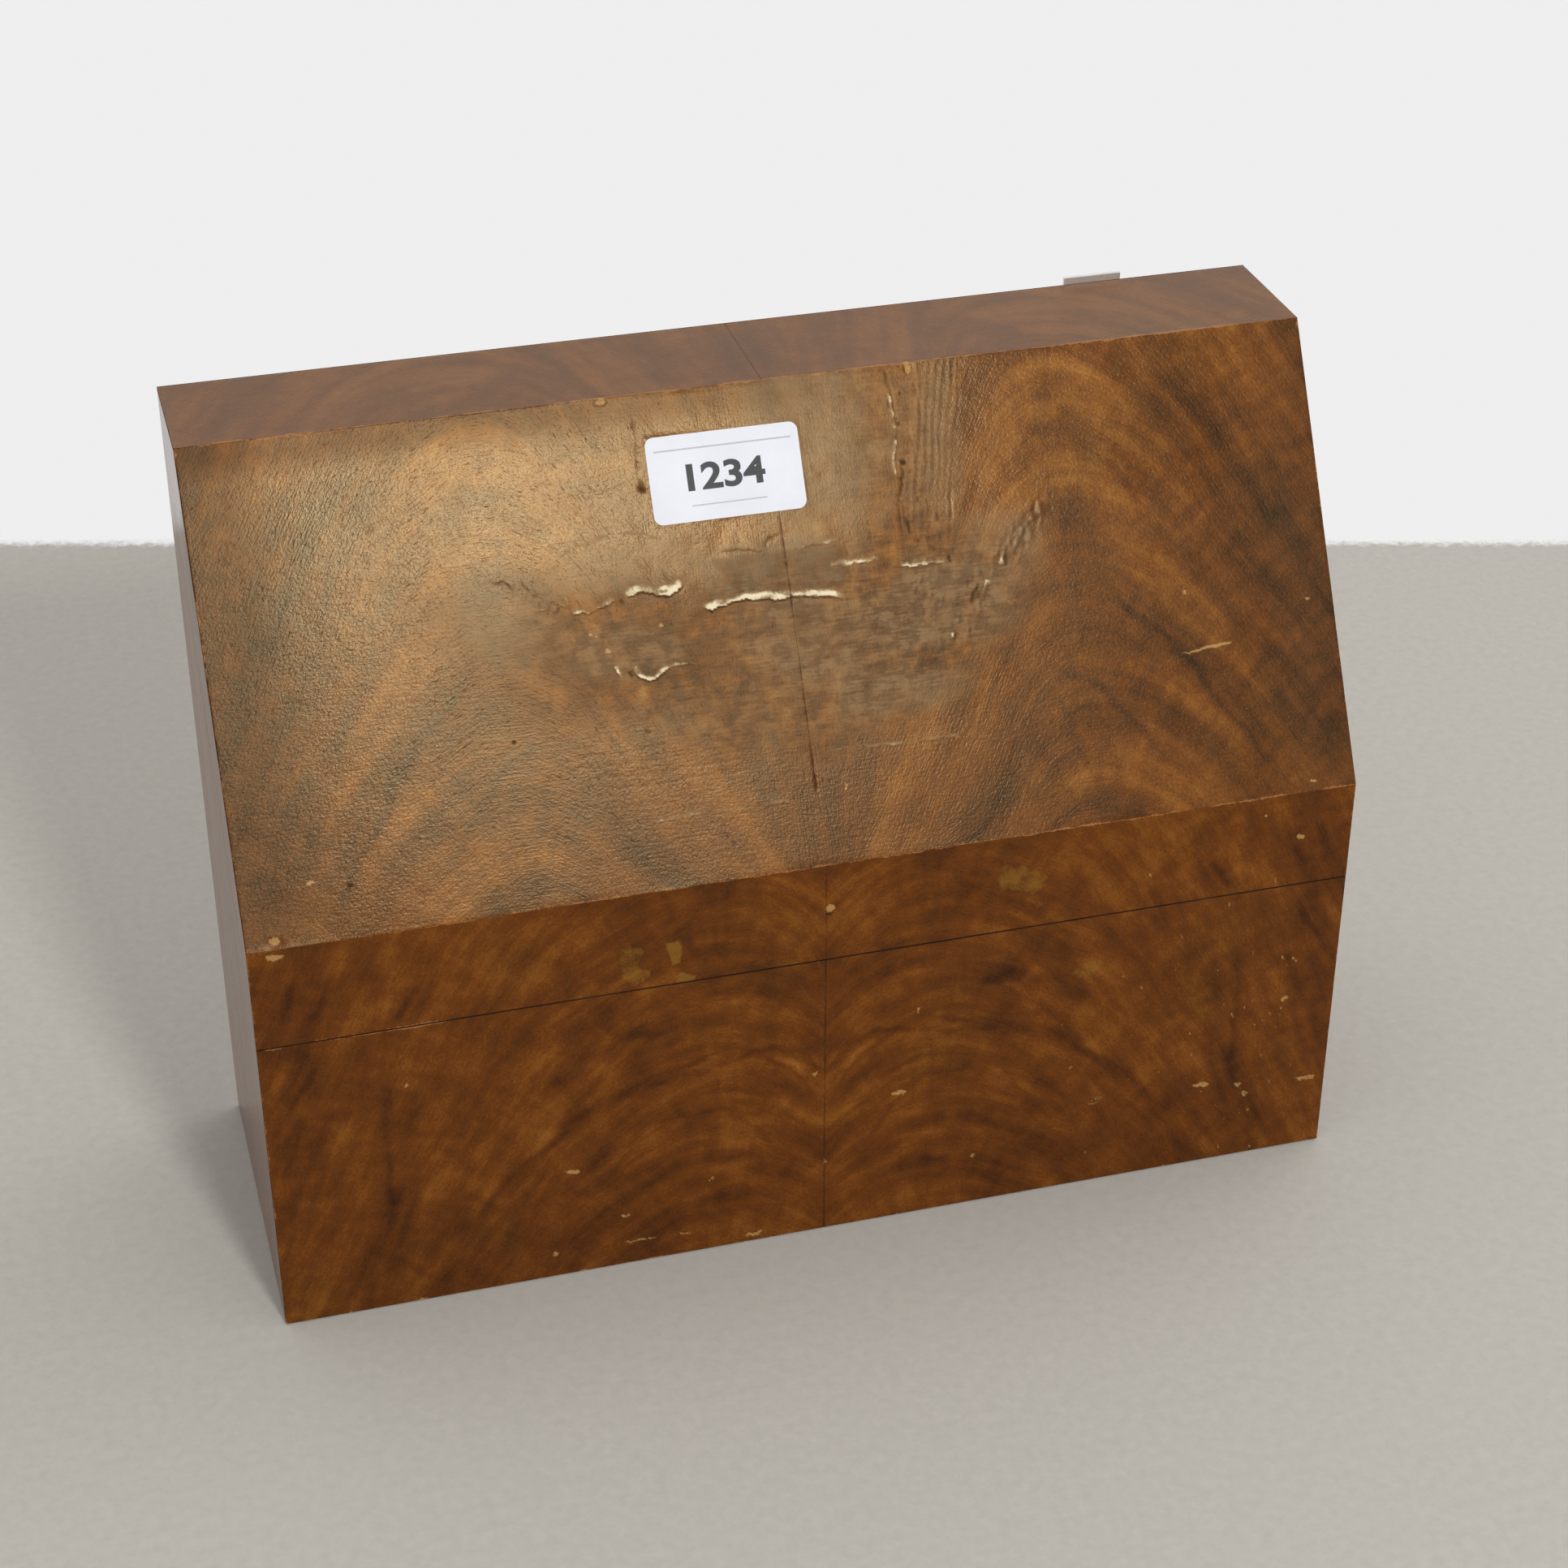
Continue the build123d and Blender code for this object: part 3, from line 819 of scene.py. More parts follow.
# Cracks, lifts and wear of the slope. Points are (from the middle, below the top arris)
slopeHarm = {
    # lifted sheets: (rise, reach above the line, torn width, paleness, points)
    "lifts": [
        (0.45, 16.0, 2.9, 1.0, [(-26.6, 62.6), (-23.1, 63.9), (-18, 62.9), (-13.7, 62.0), (-8.7, 62.6),
                                (-3, 63.3), (1.8, 63.2), (6.1, 63.6), (10.5, 64.2), (14.3, 65.1),
                                (18.9, 66.6)]),
        (0.35, 14.0, 3.0, 0.97, [(-48.2, 57.6), (-46.6, 57.0), (-42.5, 56.0), (-38.7, 57.6), (-34.4, 57.9),
                                 (-29.6, 54.9)]),
        (0.18, 10.0, 2.6, 0.78, [(-64.6, 59.2), (-62.5, 60.0), (-59.4, 60.1), (-54.4, 59.1), (-51.9, 57.9),
                                 (-49.8, 57.4)]),
        (0.12, 6.0, 0.6, 0.55, [(-74.4, 57.6), (-70.7, 57.9), (-69.4, 56.2), (-67.4, 56.4), (-65, 57.9),
                                (-64.2, 59.3)]),
        (0.10, 5.0, 0.7, 0.45, [(-77.8, 48.3), (-76.4, 50.6), (-75, 52.3), (-73.2, 54.4)]),
        (0.10, 5.0, 0.7, 0.40, [(-86.5, 48.8), (-82.6, 47.9), (-80.9, 49.6), (-79.3, 52.2)]),
        (0.10, 4.0, 0.7, 0.50, [(-66.6, 53.8), (-65.4, 55.6), (-64.3, 57.6)]),
        (0.22, 10.0, 2.1, 0.92, [(-48.6, 77.0), (-47.4, 79.0), (-46.3, 80.8), (-43.8, 82.0), (-41.9, 81.4),
                                 (-39.4, 79.5), (-36.9, 78.6)]),
        (0.08, 5.0, 1.0, 0.62, [(-38.5, 79.1), (-36.0, 78.4), (-31.8, 78.3), (-29.0, 79.4)]),
        (0.10, 4.0, 1.4, 0.85, [(-53.6, 76.8), (-52.9, 78.6), (-51.7, 80.2)]),
        (0.010, 6.0, 1.8, 0.52, [(-66, 44.2), (-60.8, 41.6), (-54.4, 40.4), (-51.9, 39.4), (-46.9, 38.8)]),
        (0.015, 6.0, 1.8, 0.66, [(-46.9, 38.8), (-42.5, 39.8), (-36.9, 41.6), (-34.2, 42.2)]),
        (0.10, 7.0, 2.8, 0.52, [(-19.4, 47.4), (-13, 47.9), (-7.4, 48.8), (-3.6, 49.4)]),
        (0.10, 7.0, 2.8, 0.55, [(0.9, 49.5), (6.1, 49.5), (12.4, 49.2), (19.0, 48.6)]),
        (0.12, 5.0, 2.6, 0.78, [(13.2, 56.2), (16, 55.8), (19.3, 56.4), (22, 55.7), (25, 56.2),
                                (29.5, 55.9)]),
        (0.02, 5.0, 0.8, 0.34, [(-79, 24.8), (-72, 20.6), (-67.6, 18.0), (-58.6, 14.6), (-50, 14.4),
                                (-40.4, 15.9)]),
        (0.12, 5.0, 1.3, 0.72, [(37.4, 33.5), (37.2, 28.0), (38.4, 23.0), (38.9, 17.0), (38.7, 10.0),
                                (38.0, 6.0)]),
        (0.06, 4.0, 1.0, 0.36, [(45.4, 24.0), (46.6, 18.0), (46.2, 10.0), (45.0, 4.0)]),
        (0.04, 4.0, 1.0, 0.30, [(50.0, 56.0), (51.4, 48.0), (52.8, 40.0), (53.6, 33.0)]),
        (0.015, 5.0, 1.3, 0.46, [(2.2, 109.8), (14, 109.3), (26, 110.4), (40, 110.3), (59, 112.4)]),
        (0.015, 5.0, 1.3, 0.48, [(-50.2, 123.0), (-38, 122.3), (-22, 123.0), (-10, 122.3), (0.2, 122.8)]),
        (0.01, 4.0, 0.9, 0.28, [(1.6, 123.4), (14, 123.0), (34, 124.0)]),
        (0.01, 4.0, 0.9, 0.28, [(-3, 132.2), (8, 132.6), (23, 132.8)]),
    ],
    # a lift as well: the ribs end in pale teeth there
    "teeth": [(0.16, 7.0, 3.6, 0.72, [(34.5, 58.6), (38.1, 59.2), (44, 58.9), (49.4, 59.4)])],
    # cracks: (depth, half width, points)
    "cracks": [
        (0.30, 0.20, [(0.8, 38.5), (0.7, 48), (0.9, 60), (0.8, 68)]),
        (0.10, 0.20, [(0.8, 67), (0.9, 74), (0.8, 84)]),
        (0.22, 0.20, [(0.8, 82), (0.9, 100), (0.8, 123.5)]),
        (0.32, 0.26, [(-4.8, 48.6), (-4.5, 47.2), (-3.5, 46.0), (-1.6, 45.5), (0.4, 44.8)]),
        (0.32, 0.28, [(-38.9, 5.5), (-38.2, 12), (-38.9, 20), (-38.6, 28.0)]),
        (0.34, 0.30, [(38.0, 1.5), (39.4, 9), (39.0, 16), (37.9, 24.8), (39.6, 31.5), (37.6, 38), (36.4, 46),
                      (37.2, 54)]),
        (0.22, 0.28, [(43.9, 12), (42.7, 20), (44.2, 28), (42.9, 38)]),
        (0.20, 0.28, [(46.4, 6), (47.3, 14), (45.6, 24)]),
        (0.20, 0.28, [(53.4, 38), (52.0, 47), (50.6, 54)]),
        (0.08, 0.45, [(-77, 25.6), (-70, 22.6), (-64.5, 22.0), (-60, 23.6)]),
        (0.09, 0.45, [(-59, 26.8), (-55, 26.4), (-51, 27.6), (-41, 24.2)]),
        (0.5, 0.75, [(-49.3, 58.2), (-48.6, 59.8)]),
        (0.45, 0.75, [(-49.6, 78.4), (-48.4, 80.4)]),
        (0.45, 0.60, [(49.8, 57.6), (50.6, 59.6)]),
        (0.5, 0.70, [(-39.2, 26.4), (-38.4, 28.2)]),
        (0.10, 0.5, [(-83.5, 49.6), (-80.8, 50.4)]),
        (0.3, 0.35, [(-46.8, 96), (-45.6, 97.5)]),
        (0.04, 0.30, [(-70, 101.2), (-52, 101.6), (-30, 101.0)]),
        (0.04, 0.30, [(-72, 104.6), (-56, 105.2), (-20, 104.6)]),
        (0.04, 0.30, [(-66, 108.0), (-48, 108.6), (-18, 108.2)]),
        (0.04, 0.30, [(-60, 111.6), (-44, 112.0), (-16, 111.4)]),
        (0.14, 0.30, [(-40, 85.5), (-30, 85.8), (-22, 85.0)]),
        (0.10, 0.26, [(27, 44), (27.6, 56), (26.8, 66)]),
        (0.16, 0.26, [(19.2, 49), (19.6, 58), (19.2, 67)]),
    ],
    # loose sheets that look paler: (x, v, half width, half height, strength)
    "sheets": [
        (-54, 19.5, 13, 4.5, 1.0),
        (-84, 14, 18, 9, 0.5),
        (10, 43, 10, 5.5, 0.8),
        (-14, 43, 9, 4.5, 0.5),
        (-36, 47, 8, 6, 0.5),
    ],
    # crumpled strips: (half width, strength, points)
    "crumples": [
        (3.2, 1.0, [(81, 44.5), (76.6, 51.0), (69.9, 57.5)]),
        (4.4, 1.0, [(69.9, 57.5), (62, 63), (57, 69), (54.5, 76)]),
        (3.8, 1.0, [(53, 77), (49.5, 80.5), (45.5, 82.5)]),
        (6.0, 0.60, [(38, 62), (42, 70), (40, 80)]),
        (4.5, 0.40, [(-54, 63), (-55.5, 72)]),
        (3.5, 0.55, [(-84, 48), (-76, 52), (-70, 58), (-60, 60)]),
        (4.5, 0.35, [(24, 92), (36, 92), (46, 93)]),
        (4.5, 0.30, [(-48, 92), (-30, 92)]),
        (3.0, 0.40, [(-44, 44), (-42, 52)]),
    ],
    # bloom: (x, v, half width, half height, strength, greyness)
    "bloom": [
        (-24, 20, 56, 32, 0.20, 0.45),
        (14, 20, 26, 36, 0.55, 0.80),
        (-46, 49, 26, 9, 0.40, 0.60),
        (0.3, 56, 30, 12, 0.40, 0.9),
        (-50, 73, 22, 11, 0.42, 0.90),
        (-78, 66, 16, 10, 0.30, 0.70),
        (8, 76, 34, 15, 0.46, 0.85),
        (46, 70, 26, 17, 0.52, 0.85),
        (66, 58, 17, 15, 0.34, 0.95),
        (0, 94, 52, 14, 0.30, 0.60),
        (-84, 56, 20, 13, 0.34, 0.60),
        (30, 95, 26, 8, 0.40, 0.80),
        (48, 26, 12, 34, 0.30, 0.50),
    ],
    # spots: (x, v, half width, half height, strength)
    "nicks": [(127.3, 34.9, 0.6, 0.9, 1), (122.1, 77.7, 0.6, 0.8, 1), (161.1, 84.5, 0.6, 0.7, 1),
              (-148.7, 125.5, 1.3, 0.8, 0.8), (-47.3, 1.0, 1.8, 1.3, 0.8), (45.1, 1.5, 1.0, 2.1, 1),
              (-160.5, 140.3, 2.0, 1.5, 0.8), (-59.4, 66.7, 0.7, 0.7, 1), (-38.7, 66.7, 1.0, 0.8, 1),
              (-55, 72, 1.0, 0.9, 1), (-57.5, 67.5, 0.5, 0.6, 0.7), (155.3, 139.6, 0.9, 0.8, 0.9),
              (-90.4, 94.2, 0.5, 0.5, 0.6), (136.5, 115.6, 0.5, 0.9, 0.7), (9.6, 120.6, 0.6, 1.3, 0.7)],
    "chips": [(-47.3, 0.4, 2.0, 1.6, 1), (45.1, 0.6, 1.4, 2.6, 1), (-160.5, 141.5, 2.5, 1.6, 1)],
    "dark": [(-121, 22, 3.0, 1.3, 0.22), (-118, 29, 2.2, 2.6, 0.26), (-120, 37, 1.8, 2.0, 0.24),
             (-137.4, 127.8, 0.9, 0.9, 1.0), (-85.6, 94.2, 0.8, 0.8, 0.8), (118.3, 97.0, 1.6, 0.6, 0.7)],
    "scratch": [(0.55, 0.95, [(118, 96), (121, 95.6), (126, 95.2), (129, 94.9), (135.5, 94.2)])],
    # dull ground, where the polish is gone: (x, v, half width, half height, strength)
    "dull": [
        (2, 82, 62, 30, 0.85),
        (44, 66, 36, 22, 0.9),
        (-46, 72, 30, 18, 0.60),
        (-58, 74, 36, 26, 0.40),
        (40, 24, 16, 44, 0.6),
        (14, 22, 22, 34, 0.25),
    ],
}

ribs = {"from": 45.0, "to": 65.0, "down": 60.0, "spacing": 2.3, "lean": 0.20, "height": 0.012}

reliefLook = {
    # layers of rough noise, as (size, seed, height), over the whole slope and on the blister round its middle
    "face": [(46, 71, 0.06), (9, 75, 0.008)],
    "blister": [(13, 79, 0.08), (4.2, 83, 0.022)],
    "blisterSpot": (-4, 44, 68, 48, 0.20),   # middle, half sizes and rise
    "sideFade": 1.6,                         # how soon a lift ends past the ends of its line
    "lip": 0.38,                             # width of the drop at a broken edge
    # shadow: a painted shade line under a broken edge, with a shallow groove cut along it
    "shadow": (0.62, 0.27, 0.10),            # place, half width and depth of the dark line under an edge
    "wrinkleTurn": (0.93, 0.37),             # cosine and sine of the wrinkles' slant
    "wrinkle": (2.2, 0.20),                  # length for a width of 1, and height
    "patch": (18.5, 49.9, 62.3),             # half width, top and foot of the grey patch
    "loose": (34, 51, 60),                   # left, right and foot of the pitted strip at the upper right
    "labelHalf": (22, 12),                   # half sizes of the flat bed under the paper label
}


def ribLines(x, v, look=ribs):
    # How strongly the ribs show, and their crests and furrows from 1 to -1
    leaned = x + look["lean"] * v
    wave = (leaned + roughNoise(x, v * 0.35, 6, 87) * 0.55) * (2 * math.pi / look["spacing"])
    ribbed = smoothStep(leaned, look["from"], look["from"] + 4)
    ribbed *= 1 - smoothStep(leaned, look["to"] - 6, look["to"])
    ribbed *= 1 - smoothStep(v, look["down"] - 3, look["down"] + 1)
    return ribbed * (0.40 + 0.95 * softNoise(x, v * 0.5, 5, 91)), np.sin(wave)


def liftedSheets(x, v, jagged, crest, look=reliefLook):
    # Sheets that rise towards a broken edge and drop sharply past it, with the torn wood there and painted
    # shade below the edge
    relief, tornAndLit, grimeAndShade = np.zeros((3, *x.shape))
    shadowPlace, shadowWidth, shadowDepth = look["shadow"]
    for rise, reach, width, paleness, points in slopeHarm["lifts"] + slopeHarm["teeth"]:
        distance, below, along = nearLine(*jagged, points)
        past = np.sqrt(np.maximum(distance**2 - below**2, 0))
        beside = np.exp(-(past / look["sideFade"]) ** 2)
        held = tapered(along, 0.08, 0.12) * beside
        held *= paleness + (1 - paleness) * 1.3 * softNoise(x, v, 5, 99)
        raised = tapered(along, 0.3, 0.3) * beside * (0.9 + 0.2 * softNoise(x, v, 6, 95))
        sheet = np.clip(1 + below / reach, 0, 1) ** 2
        relief += rise * raised * np.where(below <= 0, sheet, 1 - smoothStep(below, 0.0, look["lip"]))
        # Painted shade below the broken edge: a dark line just under it and a softer dark zone further down
        shadow = np.exp(-((below - shadowPlace) / shadowWidth) ** 2)
        softShadow = np.exp(-np.maximum(below - 0.3, 0) / 1.2) * (below > 0.3)
        relief -= shadowDepth * min(1.0, 4 * rise) * held * shadow
        ragged = width * (0.55 + 1.0 * softNoise(x, v * 0.3, 3.6, 97))
        if points is slopeHarm["teeth"][0][-1]:
            ragged = width * (0.40 + 0.9 * smoothStep(crest, -0.6, 0.9) * softNoise(x, v * 0.3, 2.2, 98))
        edge = smoothStep(below, -ragged, -0.05 * ragged) * (1 - smoothStep(below, 0.20, 0.44))
        tornAndLit = np.maximum(tornAndLit, edge * held * paleness * (0.42 + 0.80 * softNoise(x, v * 2.5, 2.8, 103)))
        dark = np.maximum(shadow * 0.8, softShadow * 0.34) * min(1.0, 0.15 + rise * 2.2)
        grimeAndShade = np.maximum(grimeAndShade, held * dark)
    return relief, tornAndLit, grimeAndShade


def crackLines(x, v, jagged):
    relief, grimeAndShade = np.zeros((2, *x.shape))
    for depth, thick, points in slopeHarm["cracks"]:
        distance, _, along = nearLine(*jagged, points)
        groove = np.exp(-(distance / thick) ** 2) * (0.35 + 0.65 * tapered(along, 0.12, 0.12))
        groove *= 0.20 + 1.1 * softNoise(x, v, 2.6, 101)
        relief -= 0.5 * depth * groove
        grimeAndShade = np.maximum(grimeAndShade, groove * min(0.95, 2.1 * depth))
    return relief, grimeAndShade


def wrinkles(x, v, look=reliefLook):
    # Short steep wrinkles, one behind the other, each with a painted highlight on one side and painted shade
    # on the other
    crumpled = strokes(x, v, slopeHarm["crumples"])
    cosine, sine = look["wrinkleTurn"]
    size, height = look["wrinkle"]

    def seenFrom(shift):
        return softNoise(cosine * x + sine * v + shift, (cosine * v - sine * x) / size, 1.0, 105)

    litSide = smoothStep(seenFrom(0.3), 0.62, 0.92)
    darkSide = smoothStep(seenFrom(-0.6), 0.50, 0.9)
    # The lit side takes the torn colour as a painted highlight; the whole strip is a little darker and its
    # shaded sides darker still, as painted shade
    tornAndLit = crumpled * litSide * 0.75 * smoothStep(softNoise(x, v, 5, 107), 0.20, 0.60)
    grimeAndShade = crumpled * (0.20 + 0.50 * darkSide) * (1 - litSide)
    return crumpled * (seenFrom(0) - 0.5) * height, tornAndLit, grimeAndShade


def bloomed(x, v, jagged):
    # Bloom is thickest on the loose veneer
    clear = np.ones(x.shape)
    grey = np.zeros(x.shape)
    for cx, cv, rx, rv, strength, greyness in slopeHarm["bloom"]:
        reach = np.hypot((jagged[0] - cx) / rx, (jagged[1] - cv) / rv) + roughNoise(x, v, 16, 113) * 0.12
        here = strength * (1 - smoothStep(reach, 0.55, 1.15))
        clear *= 1 - here
        grey = np.maximum(grey, greyness * here / strength)
    return 1 - clear, grey


def slopeRelief(x, v, look=reliefLook):
    # Relief in millimetres with the torn, grimy and bloomed places that go with it, and the painted highlight
    # and painted shade of lifted edges, ribs and wrinkles
    jagged = wandered(x, v, [(2.4, 61, 0.30)], [(2.1, 67, 0.30)])
    middleX, middleV, halfX, halfV, rise = look["blisterSpot"]
    middle = np.exp(-((x - middleX) / halfX) ** 4 - ((v - middleV) / halfV) ** 4)
    ribbed, crest = ribLines(x, v)
    relief = uneven(x, v, *look["face"]) + middle * (rise + uneven(x, v, *look["blister"]))
    relief += ribbed * ribs["height"] * crest
    lifted, tornAndLit, grimeAndShade = liftedSheets(x, v, jagged, crest)
    cracked, crackGrime = crackLines(x, v, jagged)
    wrinkled, wrinkleLitSide, wrinkleShade = wrinkles(x, v)
    relief += lifted + cracked + wrinkled
    tornAndLit = np.maximum(tornAndLit, wrinkleLitSide)
    grimeAndShade = np.maximum.reduce([grimeAndShade, crackGrime, wrinkleShade])

    # Under the paper label the veneer is sound
    labelX, labelV = look["labelHalf"]
    past = np.maximum(np.abs(x - labelSpot[0]) - labelX, np.abs(v - labelSpot[1]) - labelV)
    label = 1 - smoothStep(past, 0.0, 2.0)
    relief = relief * (1 - label) + labelLook["bed"] * label
    # The ribs get a painted highlight on their crests and painted shade in their furrows
    tornAndLit = np.maximum(tornAndLit * (1 - label), smoothStep(crest, -0.1, 1.0) * ribbed * 0.36)
    grimeAndShade = np.maximum(grimeAndShade * (1 - label), smoothStep(-crest, 0.2, 1.0) * ribbed * 0.34)

    # Pits and flecks in the loose strip left of the ribs
    left, right, foot = look["loose"]
    loose = smoothStep(x, left, left + 4) * (1 - smoothStep(x, right - 4, right))
    loose = loose * (1 - smoothStep(v, foot - 8, foot)) * softNoise(x, v, 8, 111)
    pits = smoothStep(softNoise(x, v * 0.45, 1.3, 109), 0.72, 0.92) * loose
    flecks = smoothStep(softNoise(x + 0.8, v * 0.45, 1.3, 109), 0.78, 0.95) * loose
    grimeAndShade = np.maximum(grimeAndShade, pits * 1.1)
    tornAndLit = np.maximum(tornAndLit, flecks * 0.6)

    # The patch over the broken edge in the middle is grey
    haze, grey = bloomed(x, v, jagged)
    halfPatch, top, foot = look["patch"]
    fromMiddle = np.abs(x + roughNoise(x, v, 7, 117) * 2.0)
    patch = 1 - smoothStep(fromMiddle, halfPatch - 2, halfPatch + 2)
    patch *= smoothStep(jagged[1], top - 0.7, top + 0.7) * (1 - smoothStep(jagged[1], foot - 0.7, foot + 0.7))
    lined = softNoise(x / 7, v, 0.9, 115)
    haze = np.maximum(haze, patch * (0.42 + 0.3 * lined + 0.2 * roughNoise(x, v, 8, 119)))
    grey = np.maximum(grey, patch)
    relief += patch * (lined - 0.5) * 0.05
    dull = spots(*wandered(x, v, [(12, 121, 4)], [(12, 123, 4)]), slopeHarm["dull"])
    ends = smoothStep(np.abs(x), 136, 160)
    upper = (1 - smoothStep(v, 3, 13)) * (1 - smoothStep(x, 0, 40))
    sound = smoothStep(v, 36, 58) * smoothStep(x, -126, -96) * (1 - dull)
    rougher = 0.17 * dull + 0.036 * sound + 0.06 * haze + 0.10 * patch + 0.07 * ends + 0.08 * upper
    return relief, (tornAndLit, grimeAndShade, dull), (haze, grey, rougher)


def arrisWear(x, distance, width, seed):
    # Worn along an arris: strongest at it, patchy along it
    flat = distance * 0
    patchy = 0.25 + softNoise(x, flat, 9, seed) * (0.5 + softNoise(x, flat, 2.1, seed + 1))
    return np.exp(-(distance / width)) * patchy


def slopeShape(x, v):
    relief, (tornAndLit, grimeAndShade, dull), cover = slopeRelief(x, v)
    sheets = spots(*wandered(x, v, [(5, 127, 0.9)], [(5, 129, 0.6)]), slopeHarm["sheets"])
    sheets *= 0.6 + 0.8 * softNoise(x, v, 4, 127)
    crossed = 0.6 + 0.9 * smoothStep(np.abs(x - seamX), 60, 85)
    tone, cosine, sine = figureFields(slopeFlitch, x, v, slopeStrokes, crossed)
    # Dull ground, loose sheets and the upper right are paler, and the lower half is a little darker as
    # painted shade
    tone += 0.12 * dull + 0.22 * sheets - 0.07 * smoothStep(v, 34, 64)
    tone += 0.06 * smoothStep(x, 50, 80) * (1 - smoothStep(v, 40, 70))
    nick = spots(x + roughNoise(x, v, 1.4, 131) * 0.35, v, slopeHarm["nicks"])
    scratch = strokes(x, v + roughNoise(x, v, 3.5, 135) * 0.5, slopeHarm["scratch"])
    nick = np.maximum(nick, scratch * (0.7 + 0.5 * softNoise(x, v, 2.5, 133)))
    topEdge = arrisWear(x, v, 0.5, 121)
    foldEdge = arrisWear(x, length["slope"] - v, 0.42, 123)
    sideEdge = arrisWear(v, halfWidth - np.abs(x), 0.5, 125)
    wear = np.maximum(np.maximum(topEdge, foldEdge), sideEdge)
    relief -= 0.3 * spots(x, v, slopeHarm["chips"])
    grimeAndShade = np.maximum(grimeAndShade, spots(x, v, slopeHarm["dark"]))
    fields = {"plane": (x, v, 0.0), "figure": (tone, cosine, sine), "cover": cover,
              "harm": (tornAndLit, grimeAndShade, dull), "marks": (0.0, nick, wear)}
    return relief * smoothStep(np.minimum(v, length["slope"] - v), 0.0, 1.6), fields


frontMarks = {
    # stains: (x, v, half width, half height, strength), v from the fold
    "stains": [(-58.6, 23, 4.0, 5.5, 0.60), (-57, 30.0, 4.5, 3.2, 0.62), (-45.0, 21.6, 2.8, 4.6, 0.95),
               (-42.2, 31.2, 4.6, 2.4, 0.95), (63, 16.5, 8.5, 5.5, 0.60), (58, 13, 5, 4, 0.45),
               (57, 28, 6, 3, 0.30), (84, 52, 8, 2.6, 0.50), (-42, 48, 3, 1.8, 0.35), (64, 24, 4, 3, 0.35)],
    # nicks: (x, v, half width, half height, strength)
    "nicks": [(1.6, 15.6, 1.7, 1.4, 1), (-78.9, 97, 3.6, 1.1, 0.8), (24.8, 88.3, 2.6, 1.2, 0.85),
              (-127.3, 54.5, 1.4, 1.0, 0.75), (126.2, 105.9, 2.6, 1.3, 0.75), (138.6, 108, 2.0, 1.3, 0.6),
              (141.4, 112.6, 1.8, 1.4, 0.6), (162.2, 110.4, 4.0, 0.9, 0.65), (-63, 117.4, 1.4, 1.0, 0.65),
              (-85.6, 128, 2.0, 1.0, 0.65), (-22.5, 133.8, 3.4, 1.3, 0.7), (-58, 128.0, 7.0, 0.8, 0.55),
              (-44, 128.6, 3.0, 0.9, 0.5), (30.4, 57.6, 0.9, 1.8, 0.55), (-2, 75.6, 0.7, 1.6, 0.7),
              (152.4, 15.9, 1.7, 1.0, 0.85), (140, 7, 1.2, 0.8, 0.7), (1.2, 110, 0.6, 1.6, 0.55),
              (81, 90, 1.2, 1.0, 0.55), (50, 118, 1.4, 1.2, 0.6), (-161, 2.2, 3.0, 1.4, 0.7),
              (90, 104.5, 3.2, 2.4, 0.40), (-35, 108.8, 1.0, 0.9, 0.6), (152.2, 77.2, 1.3, 1.2, 0.7)],
    "knots": [(58.6, 48.4, 8, 5.2, 0.75), (-60, 48.2, 8, 3.5, 0.35)],
    # shade: a painted shade spot under the pale nick on the seam
    "shade": [(1.6, 17.2, 1.5, 0.7, 0.9)],   # under the pale nick on the seam
    "dashes": 110,           # short scratches at the lower right
}


def scatteredDashes(x, v, count, seed):
    # Short pale scratches that follow the grain, thickest towards the right
    draw = np.random.default_rng(seed)
    total = np.zeros(x.shape)
    for _ in range(count):
        cx = 150 - abs(draw.normal(0, 34)) + draw.uniform(0, 16)
        cv = min(134.5, 78 + draw.normal(0, 27))
        size = draw.uniform(0.5, 1.7)
        lean = draw.normal(0.45, 0.35)
        strength = draw.uniform(0.25, 0.75)
        near = (np.abs(x - cx) < 4) & (np.abs(v - cv) < 4)
        dx = x[near] - cx
        dv = v[near] - cv
        along = dx * math.sin(lean) + dv * math.cos(lean)
        across = dx * math.cos(lean) - dv * math.sin(lean)
        dash = strength * np.exp(-(along / size) ** 2 - (across / 0.42) ** 2)
        total[near] = np.maximum(total[near], dash)
    return total


